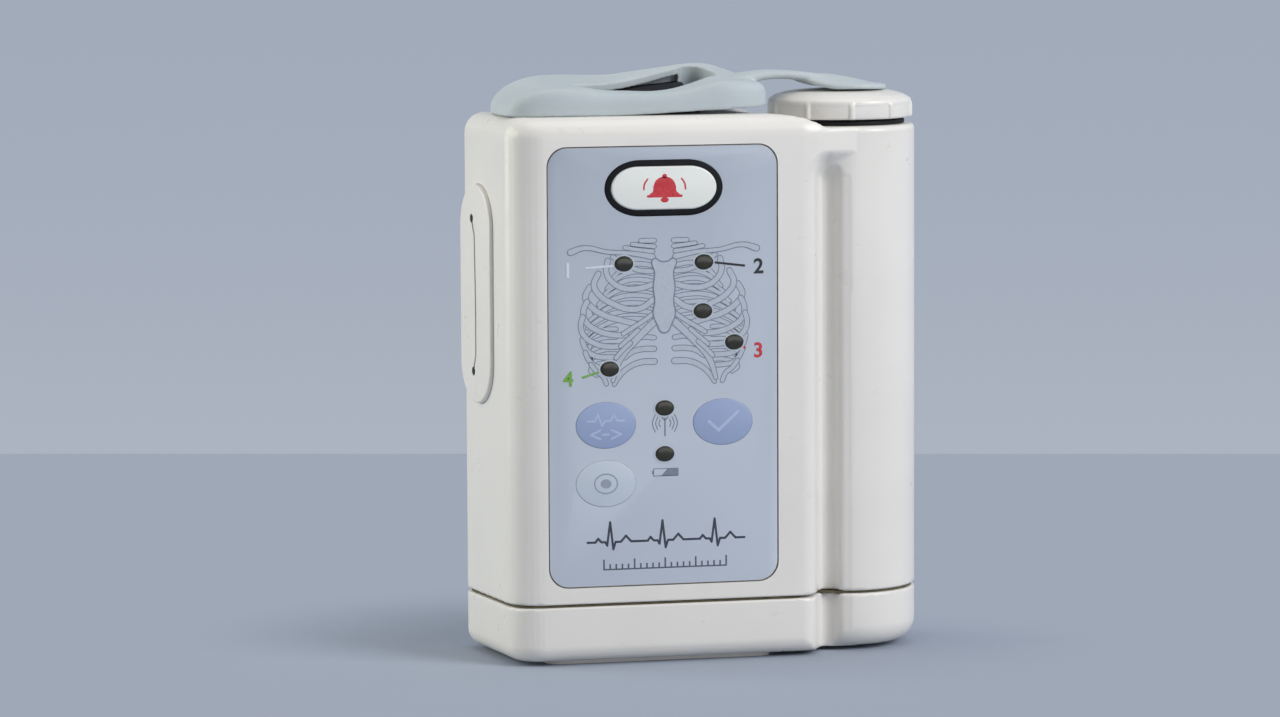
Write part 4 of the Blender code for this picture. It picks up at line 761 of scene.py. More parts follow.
class Print:
    # One ink, one body and one surface: its lines are gathered in one mesh
    def __init__(self, name, ink, body, surfaceDepth):
        self.name, self.ink, self.body, self.depth = name, ink, body, surfaceDepth
        self.shape = bmesh.new()

    def take(self, curve, level, turn=None):
        holder = addObject("markHolder", curve)
        bpy.context.view_layer.update()
        mesh = bpy.data.meshes.new_from_object(holder.evaluated_get(bpy.context.evaluated_depsgraph_get()))
        if turn:
            mesh.transform(turn)
        for vert in mesh.vertices:
            vert.co.y = self.depth - inkPitch * (level + 1) + (0.3 * inkPitch if vert.co.y > 0 else 0)
        self.shape.from_mesh(mesh)
        bpy.data.objects.remove(holder)
        bpy.data.curves.remove(curve)
        bpy.data.meshes.remove(mesh)

    def line(self, points, width, level, closed=False, straight=False, blunt=False):
        # points are (x, z) in millimetres; width is one number, or one for each point. A straight line is
        # laid stretch by stretch, so that it keeps its width round sharp corners
        if straight and len(points) > 2:
            for i, pair in enumerate(zip(points, points[1:] + points[:1] * closed)):
                self.line(pair, width, level + 0.3 * (i % 3))
            return
        widths = list(width) if isinstance(width, (list, tuple)) else [width] * len(points)
        places = [Vector((x, 0, z)) for x, z in points]
        if not closed and not blunt:
            start = (places[0] - places[1]).normalized()
            end = (places[-1] - places[-2]).normalized()
            places = ([places[0] + start * widths[0] * 0.46, places[0] + start * widths[0] * 0.3] + places
                      + [places[-1] + end * widths[-1] * 0.3, places[-1] + end * widths[-1] * 0.46])
            widths = [widths[0] * 0.3, widths[0] * 0.8] + widths + [widths[-1] * 0.8, widths[-1] * 0.3]
        curve = bpy.data.curves.new("mark", "CURVE")
        curve.dimensions, curve.resolution_u, curve.bevel_resolution = "3D", 1 if len(points) == 2 else 6, 1
        curve.bevel_depth, curve.use_fill_caps = 0.5 * mm, not closed
        self.addSpline(curve, places, widths, closed, "AUTO")
        self.take(curve, level)

    def patch(self, points, level, straight=False):
        # A filled shape inside a closed line of (x, z) points
        curve = bpy.data.curves.new("mark", "CURVE")
        curve.dimensions, curve.resolution_u, curve.fill_mode, curve.extrude = "2D", 8, "BOTH", 0.01 * mm
        places = [Vector((x, z, 0)) for x, z in points]
        self.addSpline(curve, places, [1] * len(points), True, "VECTOR" if straight else "AUTO")
        self.take(curve, level, toFront)

    def addSpline(self, curve, places, widths, closed, handles):
        spline = curve.splines.new("BEZIER")
        spline.bezier_points.add(len(places) - 1)
        spline.use_cyclic_u = closed
        for point, place, across in zip(spline.bezier_points, places, widths):
            point.co, point.radius = place * mm, across
            point.handle_left_type = point.handle_right_type = handles

    def disc(self, x, z, width, height, level):
        self.patch(ringPoints(x, z, width / 2, height / 2, 12), level)

    def digit(self, text, x, z, height, level):
        # A digit is 0.7 of its font's size high, and its strokes grow by a thirtieth of its height
        curve = bpy.data.curves.new("digit", "FONT")
        curve.body, curve.size, curve.align_x, curve.align_y = text, height * mm / 0.7, "CENTER", "CENTER"
        curve.extrude, curve.offset, curve.resolution_u = 0.01 * mm, 0.03 * height * mm, 4
        self.take(curve, level, Matrix.Translation((x * mm, 0, z * mm)) @ toFront)

    def finish(self, slot=None):
        dress(newObject(self.name, self.shape, merge=False), self.ink, self.body, sharp=30)


# The chest diagram, drawn once for X above zero and mirrored
sternum = [(1.75, 83.9), (0.9, 83.35), (-0.9, 83.35), (-1.75, 83.9), (-2.5, 83.6), (-2.0, 81.0), (-2.3, 78.0),
           (-2.0, 75.0), (-2.35, 72.5), (-1.5, 70.2), (-0.6, 68.7), (0.6, 68.7), (1.5, 70.2), (2.35, 72.5),
           (2.0, 75.0), (2.3, 78.0), (2.0, 81.0), (2.5, 83.6)]
clavicle = ([(2.5, 84.3), (7.0, 85.1), (12.0, 85.5), (16.8, 86.4), (19.6, 85.6)],
            [1.25, 0.85, 0.8, 0.95, 1.35])
backRibs = [([(2.1, 87.6), (4.8, 87.6)], 0.95), ([(2.1, 86.4), (4.6, 86.7), (6.6, 86.9)], 0.85),
            ([(2.4, 85.4), (5.0, 85.7), (8.2, 86.3)], 0.85)]
for row in range(8):
    level, reach = 82.4 - 1.62 * row, min(16.2, 11.2 + 0.9 * row)
    backRibs.append(([(2.2, level), (5.0, level + 0.5), (reach * 0.62, level + 0.3),
                      (reach * 0.85, level - 1.1), (reach, level - 2.8)], [0.9, 0.9, 0.95, 0.9, 0.7]))
for row in range(5):
    level = 69.6 - 1.7 * row
    backRibs.append(([(10.2, level), (13.0, level - 0.1), (15.6, level - 1.5),
                      (16.4 - 0.5 * row, level - 2.6)], 0.8))
backRibs += [([(2.2, 67.6), (4.2, 67.8), (6.0, 67.5)], 0.95),
             ([(2.2, 65.3), (4.6, 65.3), (6.8, 64.8), (8.4, 63.7)], 1.1),
             ([(2.2, 62.7), (5.0, 62.6), (7.6, 61.6), (9.6, 59.8), (10.6, 58.2)], [1.3, 1.2, 1.1, 1.0, 0.8])]
frontRibs = [
    ([(2.6, 81.3), (5.4, 81.6), (8.6, 83.1), (10.8, 84.4)], 0.95),
    ([(2.4, 78.6), (5.0, 77.9), (8.3, 77.9), (10.9, 79.2), (12.2, 81.4), (11.9, 83.6)], 1.15),
    ([(2.4, 75.4), (4.6, 73.9), (7.4, 73.6), (10.6, 74.7), (13.4, 76.4), (14.8, 78.7), (13.9, 81.0)], 1.2),
    ([(6.2, 70.6), (9.2, 71.4), (12.4, 72.4), (15.3, 74.2), (16.6, 76.2), (15.7, 78.3)], 1.2),
    ([(8.2, 68.3), (11.4, 68.5), (14.5, 69.6), (16.7, 71.5), (17.0, 73.7), (16.3, 75.3)], 1.15),
    ([(8.6, 66.1), (11.6, 66.0), (14.6, 66.7), (17.0, 68.5), (17.6, 70.5), (17.2, 72.2)], 1.1),
    ([(9.4, 63.8), (12.0, 63.8), (14.6, 64.2), (16.7, 65.8), (17.3, 67.6)], 1.05),
    ([(10.4, 61.6), (12.6, 61.7), (14.6, 62.1), (16.0, 63.4), (16.7, 64.9)], 0.95),
    ([(12.3, 58.4), (13.0, 59.9), (14.4, 61.0), (15.5, 62.4)], 0.9)]
cartilage = [([(2.3, 72.6), (4.6, 71.0), (7.0, 69.6), (8.6, 68.6)], 0.9),
             ([(2.2, 70.8), (4.4, 68.8), (6.4, 66.9), (8.4, 64.8), (9.9, 62.2), (10.9, 59.0)],
              [1.5, 1.5, 1.6, 1.5, 1.2, 0.8]),
             ([(5.6, 69.2), (7.4, 67.6), (9.2, 66.1)], 0.9), ([(7.2, 66.6), (8.8, 65.2), (10.2, 63.7)], 0.9)]
ribEdge = 0.42  # the outline shows this much wider than its rib, in millimetres


def printChest():
    edges = Print("chestLines", "inkLine", "case", filmFront())
    bones = Print("chestBones", "inkBone", "case", filmFront())
    groups = [(backRibs, 0)] + [([rib], 2 + 2 * (i % 3)) for i, rib in enumerate(frontRibs)]
    groups += [([band], 8 + 2 * i) for i, band in enumerate(cartilage)] + [([clavicle], 16)]
    for bands, level in groups:
        for points, width in bands:
            wider = [w + ribEdge for w in width] if isinstance(width, list) else width + ribEdge
            for side in (-1, 1):
                mirrored = [(side * x, z) for x, z in points]
                edges.line(mirrored, wider, level)
                bones.line(mirrored, width, level + 1)
    bones.patch(sternum, 18)
    edges.line(sternum, ribEdge * 0.75, 19, closed=True)
    edges.finish("overlay_film")
    bones.finish("overlay_film")


leadMarks = {"inkWhite": ("1", (-20.3, 81.7), [(-16.6, 82.3), (-10.8, 82.6)]),
             "inkBlack": ("2", (20.1, 81.7), [(10.5, 82.85), (17.2, 82.0)]),
             "inkRed": ("3", (20.0, 64.3), [(16.5, 65.4), (17.3, 64.9)]),
             "inkGreen": ("4", (-20.3, 59.4), [(-17.4, 59.75), (-13.6, 60.9)])}


def printLeads():
    # Each electrode place has a plain number in its wire's colour, with a line to its lamp
    for ink, (number, place, leader) in leadMarks.items():
        mark = Print("lead" + number + "Mark", ink, "case", filmFront())
        mark.digit(number, *place, 3.0, 21)
        mark.line(leader, 0.5, 21, blunt=True)
        mark.finish()
    halos = Print("lampHalos", "inkHalo", "case", filmFront())
    reachX, reachZ = (lampSize[side] / mm / 2 + 0.2 for side in ("width", "height"))
    for x, z in lampPlaces.values():
        halos.line(ringPoints(x / mm, z / mm, reachX, reachZ), 0.34, 22, closed=True)
    halos.finish("overlay_film")


def printIcons():
    icons = Print("statusIcons", "inkGrey", "case", filmFront())
    x, z = 0.05, 49.35  # a mast with waves to both sides
    icons.line([(x, z - 2.1), (x, z + 1.5)], 0.32, 1)
    icons.line([(x - 0.75, z + 1.9), (x, z + 1.0), (x + 0.75, z + 1.9)], 0.28, 1, straight=True)
    for side in (-1, 1):
        for reach, tall in ((1.25, 0.75), (1.95, 1.25), (2.65, 1.75)):
            tip = x + side * (reach - 0.35 * tall)
            icons.line([(tip, z + 0.5 + tall), (x + side * reach, z + 0.5), (tip, z + 0.5 - tall)], 0.26, 1)
    x, z = 0.1, 39.7  # a cell, filled to the right of a slant
    icons.line(boxCorners(x + 0.1, z, 2.6, 0.75), 0.2, 1, True, True)
    icons.patch([(x - 0.9, z - 0.75), (x + 2.7, z - 0.75), (x + 2.7, z + 0.75), (x + 0.5, z + 0.75)], 1, True)
    icons.patch(boxCorners(x - 2.675, z, 0.175, 0.35), 1, True)
    icons.finish()
    trace = Print("traceMark", "inkDark", "case", filmFront())
    beat = [(0, 0), (1.6, 0), (2.2, 0.75), (2.9, 0), (3.7, 0), (4.1, -0.7), (4.75, 4.1), (5.4, -1.5),
            (5.9, 0), (7.0, 0), (8.1, 1.2), (9.2, 0), (11.1, 0)]
    line = [(-16.4 + 11.1 * beatNumber + x, 25.6 + z) for beatNumber in range(3) for x, z in beat]
    trace.line([point for i, point in enumerate(line) if i % len(beat) or not i], 0.55, 1, straight=True)
    trace.finish()
    scale = Print("scaleMark", "inkTick", "case", filmFront())
    for step in range(21):
        x = -13.0 + 26.0 * step / 20
        tall = 2.1 if step % 5 == 0 else 1.1
        scale.line([(x, 19.9), (x, 19.9 + tall)], 0.34, 1, blunt=True)
    scale.line([(-13.0, 19.9), (13.0, 19.9)], 0.34, 2)
    scale.finish()


def signOn(sign, key, ink):
    x, z = (value / mm for value in keyPlaces[key + "_key"])
    return Print(sign + "Sign", ink, key + "_button", filmFront(keySize["proud"])), x, z


def printKeys():
    bell = Print("callSign", "inkRed", "call_button", filmFront(callKey["proud"]))
    x, z = 0.1, 98.35
    dome = [(-2.9, -1.35), (-2.35, -0.7), (-2.15, 0.6), (-1.4, 1.9), (0, 2.35), (1.4, 1.9), (2.15, 0.6),
            (2.35, -0.7), (2.9, -1.35), (0, -1.45)]
    bell.patch([(x + 1.08 * px, z + pz) for px, pz in dome], 1)
    bell.line([(x - 3.5, z - 1.62), (x + 3.5, z - 1.62)], 0.62, 2)
    bell.disc(x, z - 2.4, 1.7, 1.1, 1)
    bell.disc(x, z + 2.5, 1.0, 0.9, 1)
    for side in (-1, 1):
        bell.line([(x + side * 3.6, z + 1.9), (x + side * 4.25, z + 0.9), (x + side * 4.4, z - 0.2)], 0.4, 1)
    bell.finish("call_key_plastic")
    select, x, z = signOn("select", "lead_select", "inkPaleBlue")
    select.line([(x - 3.9, z + 0.9), (x - 2.3, z + 0.9), (x - 1.7, z + 2.3), (x - 0.8, z - 0.1),
                 (x - 0.2, z + 0.9), (x + 1.0, z + 0.9), (x + 1.7, z + 2.1), (x + 2.4, z + 0.9),
                 (x + 3.9, z + 0.9)], 0.42, 1, straight=True)
    for side in (-1, 1):
        arrow = [(x + side * reach, z + rise) for reach, rise in ((1.2, -1.0), (3.2, -1.9), (1.2, -2.8))]
        select.line(arrow, 0.45, 1, straight=True)
    select.line([(x - 0.6, z - 1.9), (x + 0.6, z - 1.9)], 0.45, 1)
    select.finish("key_blue_film")
    check, x, z = signOn("check", "check", "inkPaleBlue")
    check.line([(x - 2.9, z + 0.1), (x - 0.9, z - 1.7), (x + 3.2, z + 2.0)], 0.75, 1, straight=True)
    check.finish("key_blue_film")
    record, x, z = signOn("record", "record", "inkSign")
    record.line(ringPoints(x, z, 2.4, 2.0), 0.36, 1, closed=True)
    record.disc(x, z, 2.3, 1.9, 1)
    record.finish("key_pale_film")


printChest()
printLeads()
printIcons()
printKeys()
print("printing made")


# Side door: a plate whose front half folds out
def doorPlate():
    middle, half = (door["low"] + door["high"]) / 2, (door["halfWidth"], (door["high"] - door["low"]) / 2)
    outer, inner = door["proud"], door["proud"] - door["thickness"]
    part = raiseOutline(boxCorners(door["middle"], middle, *half), inner, outer)
    roundCorners(part, door["thickness"] / 2, door["halfWidth"], 24)
    bevelWhere(part, levelAt(outer), door["rim"], 6)
    for vert in part.verts:
        if vert.co.z > 0.3 * mm:
            vert.co.z -= door["lean"] * (door["middle"] + half[0] - vert.co.x) / (2 * half[0])
    return placed(part, sidePlane)


def doorCutter(corners):
    part = raiseOutline(corners, door["proud"] - door["thickness"] - mm, door["proud"] + mm)
    return placed(part, sidePlane)


def slitWedge(backHalf):
    # Everything to one side of the fold. The halves part along the hinge, and along the slit where it runs
    # beside the hinge
    way, thin = (1, door["slitWidth"] / 2) if backHalf else (-1, 0)
    hairline = way * door["hairline"] / 2
    hinge, far = door["hinge"] - hairline, door["middle"] + way * (door["halfWidth"] + 2 * mm)
    slit = [(along - thin, height) for along, height in foldLine[1:-1]]
    head, foot = slit[0][1] - hairline, slit[-1][1] + hairline
    above, below = door["high"] + 2 * mm, door["low"] - 2 * mm
    return doorCutter([(hinge, above), (hinge, head), (slit[0][0], head), *slit[1:-1], (slit[-1][0], foot),
                       (hinge, foot), (hinge, below), (far, below), (far, above)])


def slitStrip():
    # The slit itself, from hole to hole
    half = door["slitWidth"] / 2
    return doorCutter([(along - half, height) for along, height in foldLine]
                      + [(along + half, height) for along, height in foldLine[::-1]])


def doorHole(along, height, shape):
    size = Matrix.Diagonal((door["holeSize"], door["holeSize"], 1, 1))
    at = Matrix.Translation((along, height, -2 * mm)) @ Matrix.Rotation(radians(-14), 4, "Z")
    part = ovalPart(4 * mm, 32, at @ size)
    bmesh.ops.recalc_face_normals(part, faces=part.faces)
    placed(part, sidePlane, shape)


def makeDoor():
    for node, body, backHalf in (("side_cover", "case", True), ("side_flap", "side_door", False)):
        half = newObject(node + "Plate", doorPlate())
        withBoolean(half, slitWedge(not backHalf))
        withBoolean(half, slitStrip())
        holes = bmesh.new()
        for along, height in doorHoles:
            doorHole(along, height, holes)
        withBoolean(half, holes)
        dress(half, "case", body, (node,), sharp=40)


def makeSlitShade():
    # Painted shade: a black strip behind the slit, and black plugs in its two end holes, stand in for the
    # shadow inside them
    inner = door["proud"] - door["thickness"]
    middle, length = (foldLine[0][1] + foldLine[-1][1]) / 2, foldLine[0][1] - foldLine[-1][1]
    strip = sideBox(21.6 * mm, middle, 4.6 * mm, length + 5 * mm, 2.0 * mm, inner - 0.07 * mm,
                    inner - 0.01 * mm)
    for along, height in doorHoles:
        holeShadePlug = door["holeSize"] - 0.1 * mm
        sideBox(along, height, holeShadePlug, holeShadePlug, mm, inner - 0.04 * mm, door["proud"] - 0.28 * mm, strip)
    dress(newObject("slitAndHoleShade", strip), "seal", "case")


makeDoor()
makeSlitShade()
print("side door made")


# Battery cap and its seal
cap = metres(radius=15.4, bottom=111.3, wallTop=114.3, top=117.0, roof=1.7, bore=11.1, fluteDepth=0.4,
             fluteTop=115.2, fluteFade=1.2, lip=0.55, stemHole=2.1, middle=8.0)
seal = metres(inner=11.3, outer=13.6, lift=0.025, thickness=1.0)
capDome = table((14.9, 115.2), (13.4, 116.1), (11.2, 116.7), (8.7, 117.0))
capRidges, ridgeAngle, ridgeShare = 10, radians(-96.2), 0.24


def makeCap():
    roof = cap["top"] - cap["roof"]
    corners = [(cap["bore"], cap["bottom"], 0.2 * mm), (cap["radius"], cap["bottom"], cap["lip"]),
               (cap["radius"], cap["wallTop"], 0.5 * mm)]
    corners += [(radius, height, 0.4 * mm) for radius, height in capDome]
    corners += [(cap["stemHole"], cap["top"], 0.1 * mm), (cap["stemHole"], roof, 0), (cap["bore"], roof, 0)]
    steps = 480
    shape = spinProfile(roundedProfile(corners, 5), bayCentre, steps)
    # Low ridges to grip stand between shallow hollows, and run out as the dome closes
    for vert in shape.verts:
        out = Vector((vert.co.x - bayCentre[0], vert.co.y - bayCentre[1]))
        if out.length < cap["middle"] or vert.co.z > cap["top"] - 0.2 * mm and out.length < cap["bore"]:
            continue
        if out.length > cap["bore"] + 0.5 * mm or vert.co.z > cap["wallTop"]:
            turn = atan2(out.y, out.x) - ridgeAngle
            hollow = min(1, abs(sin(turn * capRidges / 2)) / ridgeShare) ** 2
            fade = min(1, max(0, (cap["fluteTop"] - vert.co.z) / cap["fluteFade"]))
            vert.co.xy -= out.normalized() * cap["fluteDepth"] * hollow * fade
    dress(newObject("batteryCap", shape), "case", "cap", ("battery_cap",), sharp=30)
    low = case["shoulder"] + seal["lift"]
    high = low + seal["thickness"]
    ring = roundedProfile([(seal["inner"], low, 0.3 * mm), (seal["outer"], low, 0.3 * mm),
                           (seal["outer"], high, 0.45 * mm), (seal["inner"], high, 0.3 * mm)], 5)
    sealRing = newObject("capSeal", spinProfile(ring, bayCentre, 128))
    dress(sealRing, "seal", "case", ("cap_seal",))


makeCap()
print("cap made")


# Lead boot, its strap and the disc on the cap: one soft moulding
# Along the boot: x, its underside, front rim height, crest height, half width
bootStations = table(
    (-31.4, 113.0, 113.6, 113.7, 4.2), (-30.7, 113.0, 115.0, 115.2, 7.8),
    (-29.3, 113.0, 116.4, 116.7, 10.1), (-27.0, 113.0, 117.7, 118.1, 11.6),
    (-24.4, 113.0, 118.6, 119.1, 12.2), (-21.0, 113.0, 119.0, 119.8, 12.4),
    (-16.0, 113.0, 118.8, 120.0, 12.4), (-10.0, 113.0, 117.9, 119.9, 12.4),
    (-5.0, 113.1, 117.8, 119.9, 12.4), (0.0, 113.3, 117.65, 120.5, 12.4),
    (4.0, 113.5, 117.95, 120.95, 12.4), (8.0, 113.7, 118.7, 121.45, 12.4),
    (11.0, 113.8, 119.4, 121.8, 12.4), (14.0, 113.9, 120.0, 121.9, 12.4), (17.0, 114.1, 120.0, 121.6, 12.2),
    (20.0, 114.2, 119.8, 120.7, 11.7), (22.4, 114.3, 119.4, 119.9, 10.9), (23.7, 114.5, 118.6, 119.0, 9.8),
    (24.2, 114.9, 117.8, 118.1, 8.6))
# Along the strap: x, the height of its top, its thickness, its half width
strapStations = table(
    (15.0, 120.0, 2.4, 5.2), (20.0, 120.5, 2.4, 5.0), (23.0, 120.95, 2.2, 4.8), (26.6, 121.3, 1.9, 4.6),
    (30.0, 121.25, 1.8, 4.6), (33.5, 121.0, 1.9, 4.9), (37.0, 120.6, 2.2, 5.2), (41.0, 120.0, 2.0, 5.0))
# Over the disc: x, the height of its top
discTop = table((32.0, 121.0), (35.6, 120.85), (40.0, 120.4), (44.3, 119.75), (48.0, 119.0), (51.0, 118.3),
                (53.5, 117.8))
# Under the opening: x, the height that it cuts down to
eyeFloor = table((-16.0, 112.0), (7.2, 112.0), (8.8, 112.5), (9.8, 116.5), (11.6, 117.7), (13.8, 118.7),
                 (17.0, 120.6))
# Behind the middle of the opening: x, how far back its rim lies
eyeBack = table((-15.2, 0.2), (-11.0, 1.9), (-6.0, 3.6), (0.0, 5.4), (6.0, 7.0), (10.0, 7.8), (12.5, 7.5),
                (14.4, 5.8), (15.6, 3.0), (16.0, 1.0))
boot = metres(rim=-5.0, crest=9.5, thickness=1.8, eyeLeft=-14.9, eyeRight=15.8, eyeHalf=5.2, strapMiddle=1.9,
              discLift=40.0, discRise=1.7, hollowEnd=9.6, shroudTop=117.95, discRadius=9.8, discLow=117.4,
              discEdge=0.9, stemRadius=2.0, stemEnd=115.6)
# Top and slope of the black liner that paints the shade in the boot's opening
shadeLinerSlope = 0.1


def alongTable(rows, x):
    # A smooth curve through the rows, whose first value is where they stand
    i = next((i for i, row in enumerate(rows[1:-1], 1) if x < row[0]), len(rows) - 1)
    rows = [rows[max(0, i - 2)], rows[i - 1], rows[i], rows[min(len(rows) - 1, i + 1)]]
    share = min(1, max(0, (x - rows[1][0]) / (rows[2][0] - rows[1][0])))
    found = []
    for before, start, end, after in list(zip(*rows))[1:]:
        gaps = [max(1e-9, b[0] - a[0]) for a, b in zip(rows, rows[1:])]
        leave = (end - before) / (gaps[0] + gaps[1]) * gaps[1] if gaps[0] > 1e-8 else end - start
        reach = (after - start) / (gaps[1] + gaps[2]) * gaps[1] if gaps[2] > 1e-8 else end - start
        curve = (2 * start - 2 * end + leave + reach, 3 * end - 3 * start - 2 * leave - reach, leave, start)
        found.append(((curve[0] * share + curve[1]) * share + curve[2]) * share + curve[3])
    return found


def bootRing(x, inset):
    under, front, crest, half = alongTable(bootStations, x)
    half = half - inset
    under = case["top"] - 2 * mm if inset else under
    ring = []
    steps = 40
    for step in range(steps + 1):
        across = -cos(pi * step / steps)
        y = half * across
        rise = min(1, max(0, (y - boot["rim"]) / (boot["crest"] - boot["rim"]))) ** 1.6
        fade = (1 - abs(across) ** 16) ** 0.3
        level = front + (crest - front) * rise + (crest - under) * 0.1 * rise - inset
        ring.append(Vector((x, y, under + (level - under) * fade)))
    return ring[::-1] + [Vector((x, half * (2 * step / 9 - 1), under)) for step in range(1, 9)]


def bootSolid(inset, right=bootStations[-1][0]):
    left = bootStations[0][0] + inset
    count = 48
    places = [left + (right - left) * (1 - cos(pi * step / count)) / 2 for step in range(count + 1)]
    return loft([bootRing(x, inset) for x in places])


def strapSolid():
    rings = []
    for step in range(41):
        x = strapStations[0][0] + (strapStations[-1][0] - strapStations[0][0]) * step / 40
        top, thickness, half = alongTable(strapStations, x)
        ring = []
        for turn in range(24):
            angle = 2 * pi * turn / 24
            across, up = cos(angle), sin(angle)
            y = boot["strapMiddle"] + half * (abs(across) ** 0.45) * (1 if across > 0 else -1)
            z = top - thickness / 2 + thickness / 2 * (abs(up) ** 0.6) * (1 if up > 0 else -1)
            ring.append(Vector((x, y, z)))
        rings.append(ring)
    return loft(rings)


def discSolid():
    low, edge, radius = boot["discLow"], boot["discLow"] + boot["discEdge"], boot["discRadius"]
    rows = [(0, low), (radius - 0.3 * mm, low), (radius, low + 0.35 * mm), (radius - 0.1 * mm, edge)]
    rows += [(radius * share, edge + mm) for share in (0.95, 0.9, 0.8, 0.65, 0.5, 0.35, 0.2, 0)]
    shape = spinProfile(rows, bayCentre, 96)
    for vert in shape.verts:
        lowered = max(0, (vert.co.x - bayCentre[0]) / radius) ** 1.5
        raised = max(0, (boot["discLift"] - vert.co.x) / (boot["discLift"] - bayCentre[0] + radius)) ** 1.5
        if vert.co.z > edge + 0.5 * mm:
            share = hypot(vert.co.x - bayCentre[0], vert.co.y - bayCentre[1]) / radius
            top = alongTable(discTop, vert.co.x)[0]
            vert.co.z = edge + (top - edge) * (1 - share ** 3.2) + raised * boot["discRise"] * share ** 3.2
            vert.co.z -= 0.1 * mm * lowered
        else:
            drop = 0.15 * mm if vert.co.z > low + 0.5 * mm else 0.4 * mm
            vert.co.z += raised * boot["discRise"] - drop * lowered
    return shape


def eyeShape(right):
    # The opening: through the moulding over the socket, and a dish to the right of it
    rings = []
    for step in range(41):
        share = 0.5 - 0.5 * cos(pi * step / 40)
        x = boot["eyeLeft"] + (right - boot["eyeLeft"]) * share
        reach = boot["eyeHalf"] * sin(pi * min(0.998, max(0.002, share))) ** 0.85
        under, over, back = alongTable(eyeFloor, x)[0], case["top"] + 12 * mm, alongTable(eyeBack, x)[0]
        around = ((-reach, under), (1.2 * back, under), (0.95 * back, over), (-reach, over))
        rings.append([Vector((x, y, z)) for y, z in around])
    return loft(rings)


def makeBoot():
    made = newObject("leadBoot", bootSolid(0))
    withBoolean(made, strapSolid(), "UNION")
    withBoolean(made, discSolid(), "UNION")
    softenAll(made, 0.3 * mm, 4)
    withBoolean(made, bootSolid(boot["thickness"], boot["hollowEnd"]))
    withBoolean(made, eyeShape(boot["eyeRight"]))
    softenAll(made, 0.25 * mm, 1)
    stem = spinProfile([(0, boot["stemEnd"]), (boot["stemRadius"], boot["stemEnd"]),
                        (boot["stemRadius"], boot["discLow"] + mm), (0, boot["discLow"] + mm)], bayCentre, 40)
    withBoolean(made, stem, "UNION")
    dress(made, "rubber", None, sharp=60)
    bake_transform(made)
    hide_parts("lead_boot", "cap_tether", "tether_button")
    return made


def makeOpeningShade():
    # Painted shade: a black liner inside the boot, round the socket, stands in for the shade deep in the
    # opening
    gap = 0.15 * mm
    shroud = newObject("openingShadeLiner", bootSolid(boot["thickness"] + gap, boot["hollowEnd"] - gap))
    withBoolean(shroud, bootSolid(boot["thickness"] + mm, boot["hollowEnd"] - mm))
    low, left, right = case["top"] - 5 * mm, boot["hollowEnd"] - 50 * mm, boot["hollowEnd"] + mm
    plan = boxCorners((left + right) / 2, 0, (right - left) / 2, 20 * mm)
    withBoolean(shroud, raiseOutline(plan, low, case["top"] + 0.05 * mm))
    over = raiseOutline(plan, low, low + 20 * mm)
    for vert in over.verts:
        if vert.co.z < low + mm:
            vert.co.z = boot["shroudTop"] + shadeLinerSlope * vert.co.x
    withBoolean(shroud, over)
    dress(shroud, "black", "case", sharp=60)


makeBoot()
makeOpeningShade()
print("boot and strap made")


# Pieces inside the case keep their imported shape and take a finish
innerFinishes = {"circuit_board": "board", "battery_terminal": "brass", "antenna": "brass",
                 "shield_can": "steel", "battery_spring": "steel", "cap_contact": "steel",
                 "battery_tube": "black", "lead_socket": "black", "side_port": "black",
                 "battery_cell_1": "cell", "battery_cell_2": "cell", "housing_gasket": "gasket"}
innerFinishes.update({f"lead_contact_{i}": "brass" for i in range(1, 6)})
innerFinishes.update({f"board_screw_{i}": "steel" for i in range(1, 5)})
innerFinishes.update({name + "_led": "keyWhite" for name in lampPlaces})
innerFinishes.update({name + "_dome": "steel" for name in ("call", "check", "record", "lead_select")})
for name, finish in innerFinishes.items():
    node = frame["nodes"][name]
    node.data.materials.clear()
    node.data.materials.append(finishes[finish])
print("inner pieces finished")


# Stage: a grey-blue floor, a backdrop that lightens towards the floor, and five soft lamps
def stagePlane(name, corners, finish):
    shape = bmesh.new()
    shape.faces.new([shape.verts.new(stageTurn @ Vector(corner)) for corner in corners])
    plane = newObject(name, shape)
    plane.data.materials.append(finish)


stageSize = metres(back=349.0, side=1500.0, front=1500.0, height=1200.0, fadeLow=0.0, fadeHigh=160.0,
                   shadowInner=45.0, shadowOuter=110.0)
stageTurn = Matrix.Rotation(-radians(cameraView["azimuth"] + 2.3), 4, "Z")  # the backdrop faces the camera


def backdropFinish():
    finish = bpy.data.materials.new("backdropPaper")
    finish.use_nodes = True
    finish.node_tree.nodes.clear()
    place = addNode(finish, "ShaderNodeTexCoord").outputs["Object"]
    height = addNode(finish, "ShaderNodeSeparateXYZ", {"Vector": place}).outputs["Z"]
    rise = mapRange(finish, height, (stageSize["fadeLow"], stageSize["fadeHigh"]))
    ramp = colourRamp(finish, rise, ("adb4c1", "a0a9b8"))
    ramp.color_ramp.elements.new(0.45).color = linearColour("a4adbc")
    glow = addNode(finish, "ShaderNodeEmission", {"Color": ramp.outputs["Color"], "Strength": 1.0})
    plain = addNode(finish, "ShaderNodeBsdfDiffuse", {"Color": linearColour("a0a9b8")})
    seen = mixShaders(finish, seenDirectly(finish), plain.outputs["BSDF"], glow.outputs["Emission"])
    # From behind, the sheet lets the view through, so that the object's back can be looked at
    behind = addNode(finish, "ShaderNodeNewGeometry").outputs["Backfacing"]
    clear = addNode(finish, "ShaderNodeBsdfTransparent").outputs["BSDF"]
    addNode(finish, "ShaderNodeOutputMaterial", {"Surface": mixShaders(finish, behind, seen, clear)})
    return finish


def mixShaders(finish, share, first, second):
    return addNode(finish, "ShaderNodeMixShader", {0: share, 1: first, 2: second}).outputs["Shader"]


def mathNode(finish, operation, first, second):
    return addNode(finish, "ShaderNodeMath", {0: first, 1: second}, operation=operation).outputs["Value"]


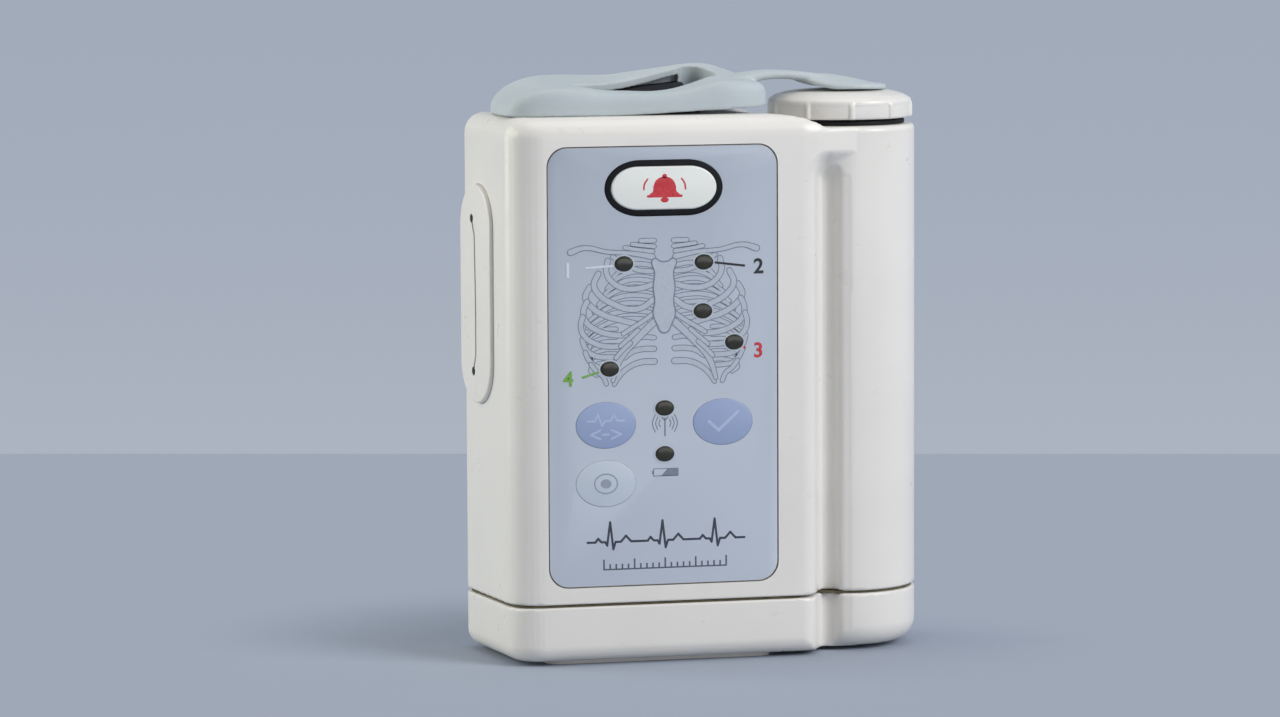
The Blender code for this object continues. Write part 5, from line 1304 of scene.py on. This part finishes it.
def seenDirectly(finish):
    path = addNode(finish, "ShaderNodeLightPath").outputs
    either = mathNode(finish, "MAXIMUM", path["Is Camera Ray"], path["Is Glossy Ray"])
    return mathNode(finish, "MAXIMUM", either, path["Is Transmission Ray"])


def floorFinish():
    # Matt paper: the lamps shade it, so that the object keeps its shadow there
    finish, shader, place = newFinish("floorPaper", Roughness=0.85)
    roughen(finish, shader, place, 1.2, 0.02, 3)
    shader.inputs["Base Color"].default_value = linearColour("9da6b5")
    shader.inputs["Specular IOR Level"].default_value = 0.1
    # Further out the paper is seen in its plain colour, like the backdrop
    away = addNode(finish, "ShaderNodeVectorMath", {0: place}, operation="LENGTH")
    fade = mapRange(finish, away.outputs["Value"], (stageSize["shadowInner"], stageSize["shadowOuter"]),
                    interpolation_type="SMOOTHSTEP")
    share = mathNode(finish, "MULTIPLY", seenDirectly(finish), fade)
    glow = addNode(finish, "ShaderNodeEmission", {"Color": linearColour("9fa8b7"), "Strength": 1.0})
    mixed = mixShaders(finish, share, shader.outputs["BSDF"], glow.outputs["Emission"])
    join(finish, mixed, finish.node_tree.nodes["Material Output"].inputs["Surface"])
    return finish


def makeStage():
    side, back, front, high = (stageSize[name] for name in ("side", "back", "front", "height"))
    floor = [(-side, -front, 0), (side, -front, 0), (side, back, 0), (-side, back, 0)]
    stagePlane("floorSheet", floor, floorFinish())
    wall = [(-side, back, 0), (side, back, 0), (side, back, high), (-side, back, high)]
    stagePlane("backdropSheet", wall, backdropFinish())


def softLamp(name, place, size, watts, colour="ffffff"):
    lamp = bpy.data.lights.new(name, "AREA")
    lamp.shape, lamp.size, lamp.size_y, lamp.energy = "RECTANGLE", size[0], size[1], watts
    lamp.color = linearColour(colour)[:3]
    made = addObject(name, lamp)
    made.location = place
    made.rotation_euler = (Vector(place) - lampTarget).to_track_quat("Z", "Y").to_euler()


makeStage()
lampTarget = Vector((0.01, 0, 0.06))
softLamp("keyLamp", (0.75, -0.75, 0.7), (0.6, 0.7), 10.9)
softLamp("lowLamp", (0.35, -1.1, 0.12), (0.6, 0.3), 1.6)
softLamp("sideLamp", (-1.15, 0.05, 0.35), (0.4, 0.9), 5.7, "fffff4")
softLamp("rearLamp", (-0.58, 0.31, 0.27), (0.25, 0.54), 1.65, "fffff4")
softLamp("topLamp", (0.0, -0.1, 1.1), (0.8, 0.8), 3.0)
world = bpy.data.worlds.new("studio")
world.use_nodes = True
sky = world.node_tree.nodes["Background"].inputs
sky["Color"].default_value = linearColour("fff4ec")
sky["Strength"].default_value = 0.16
bpy.context.scene.world = world
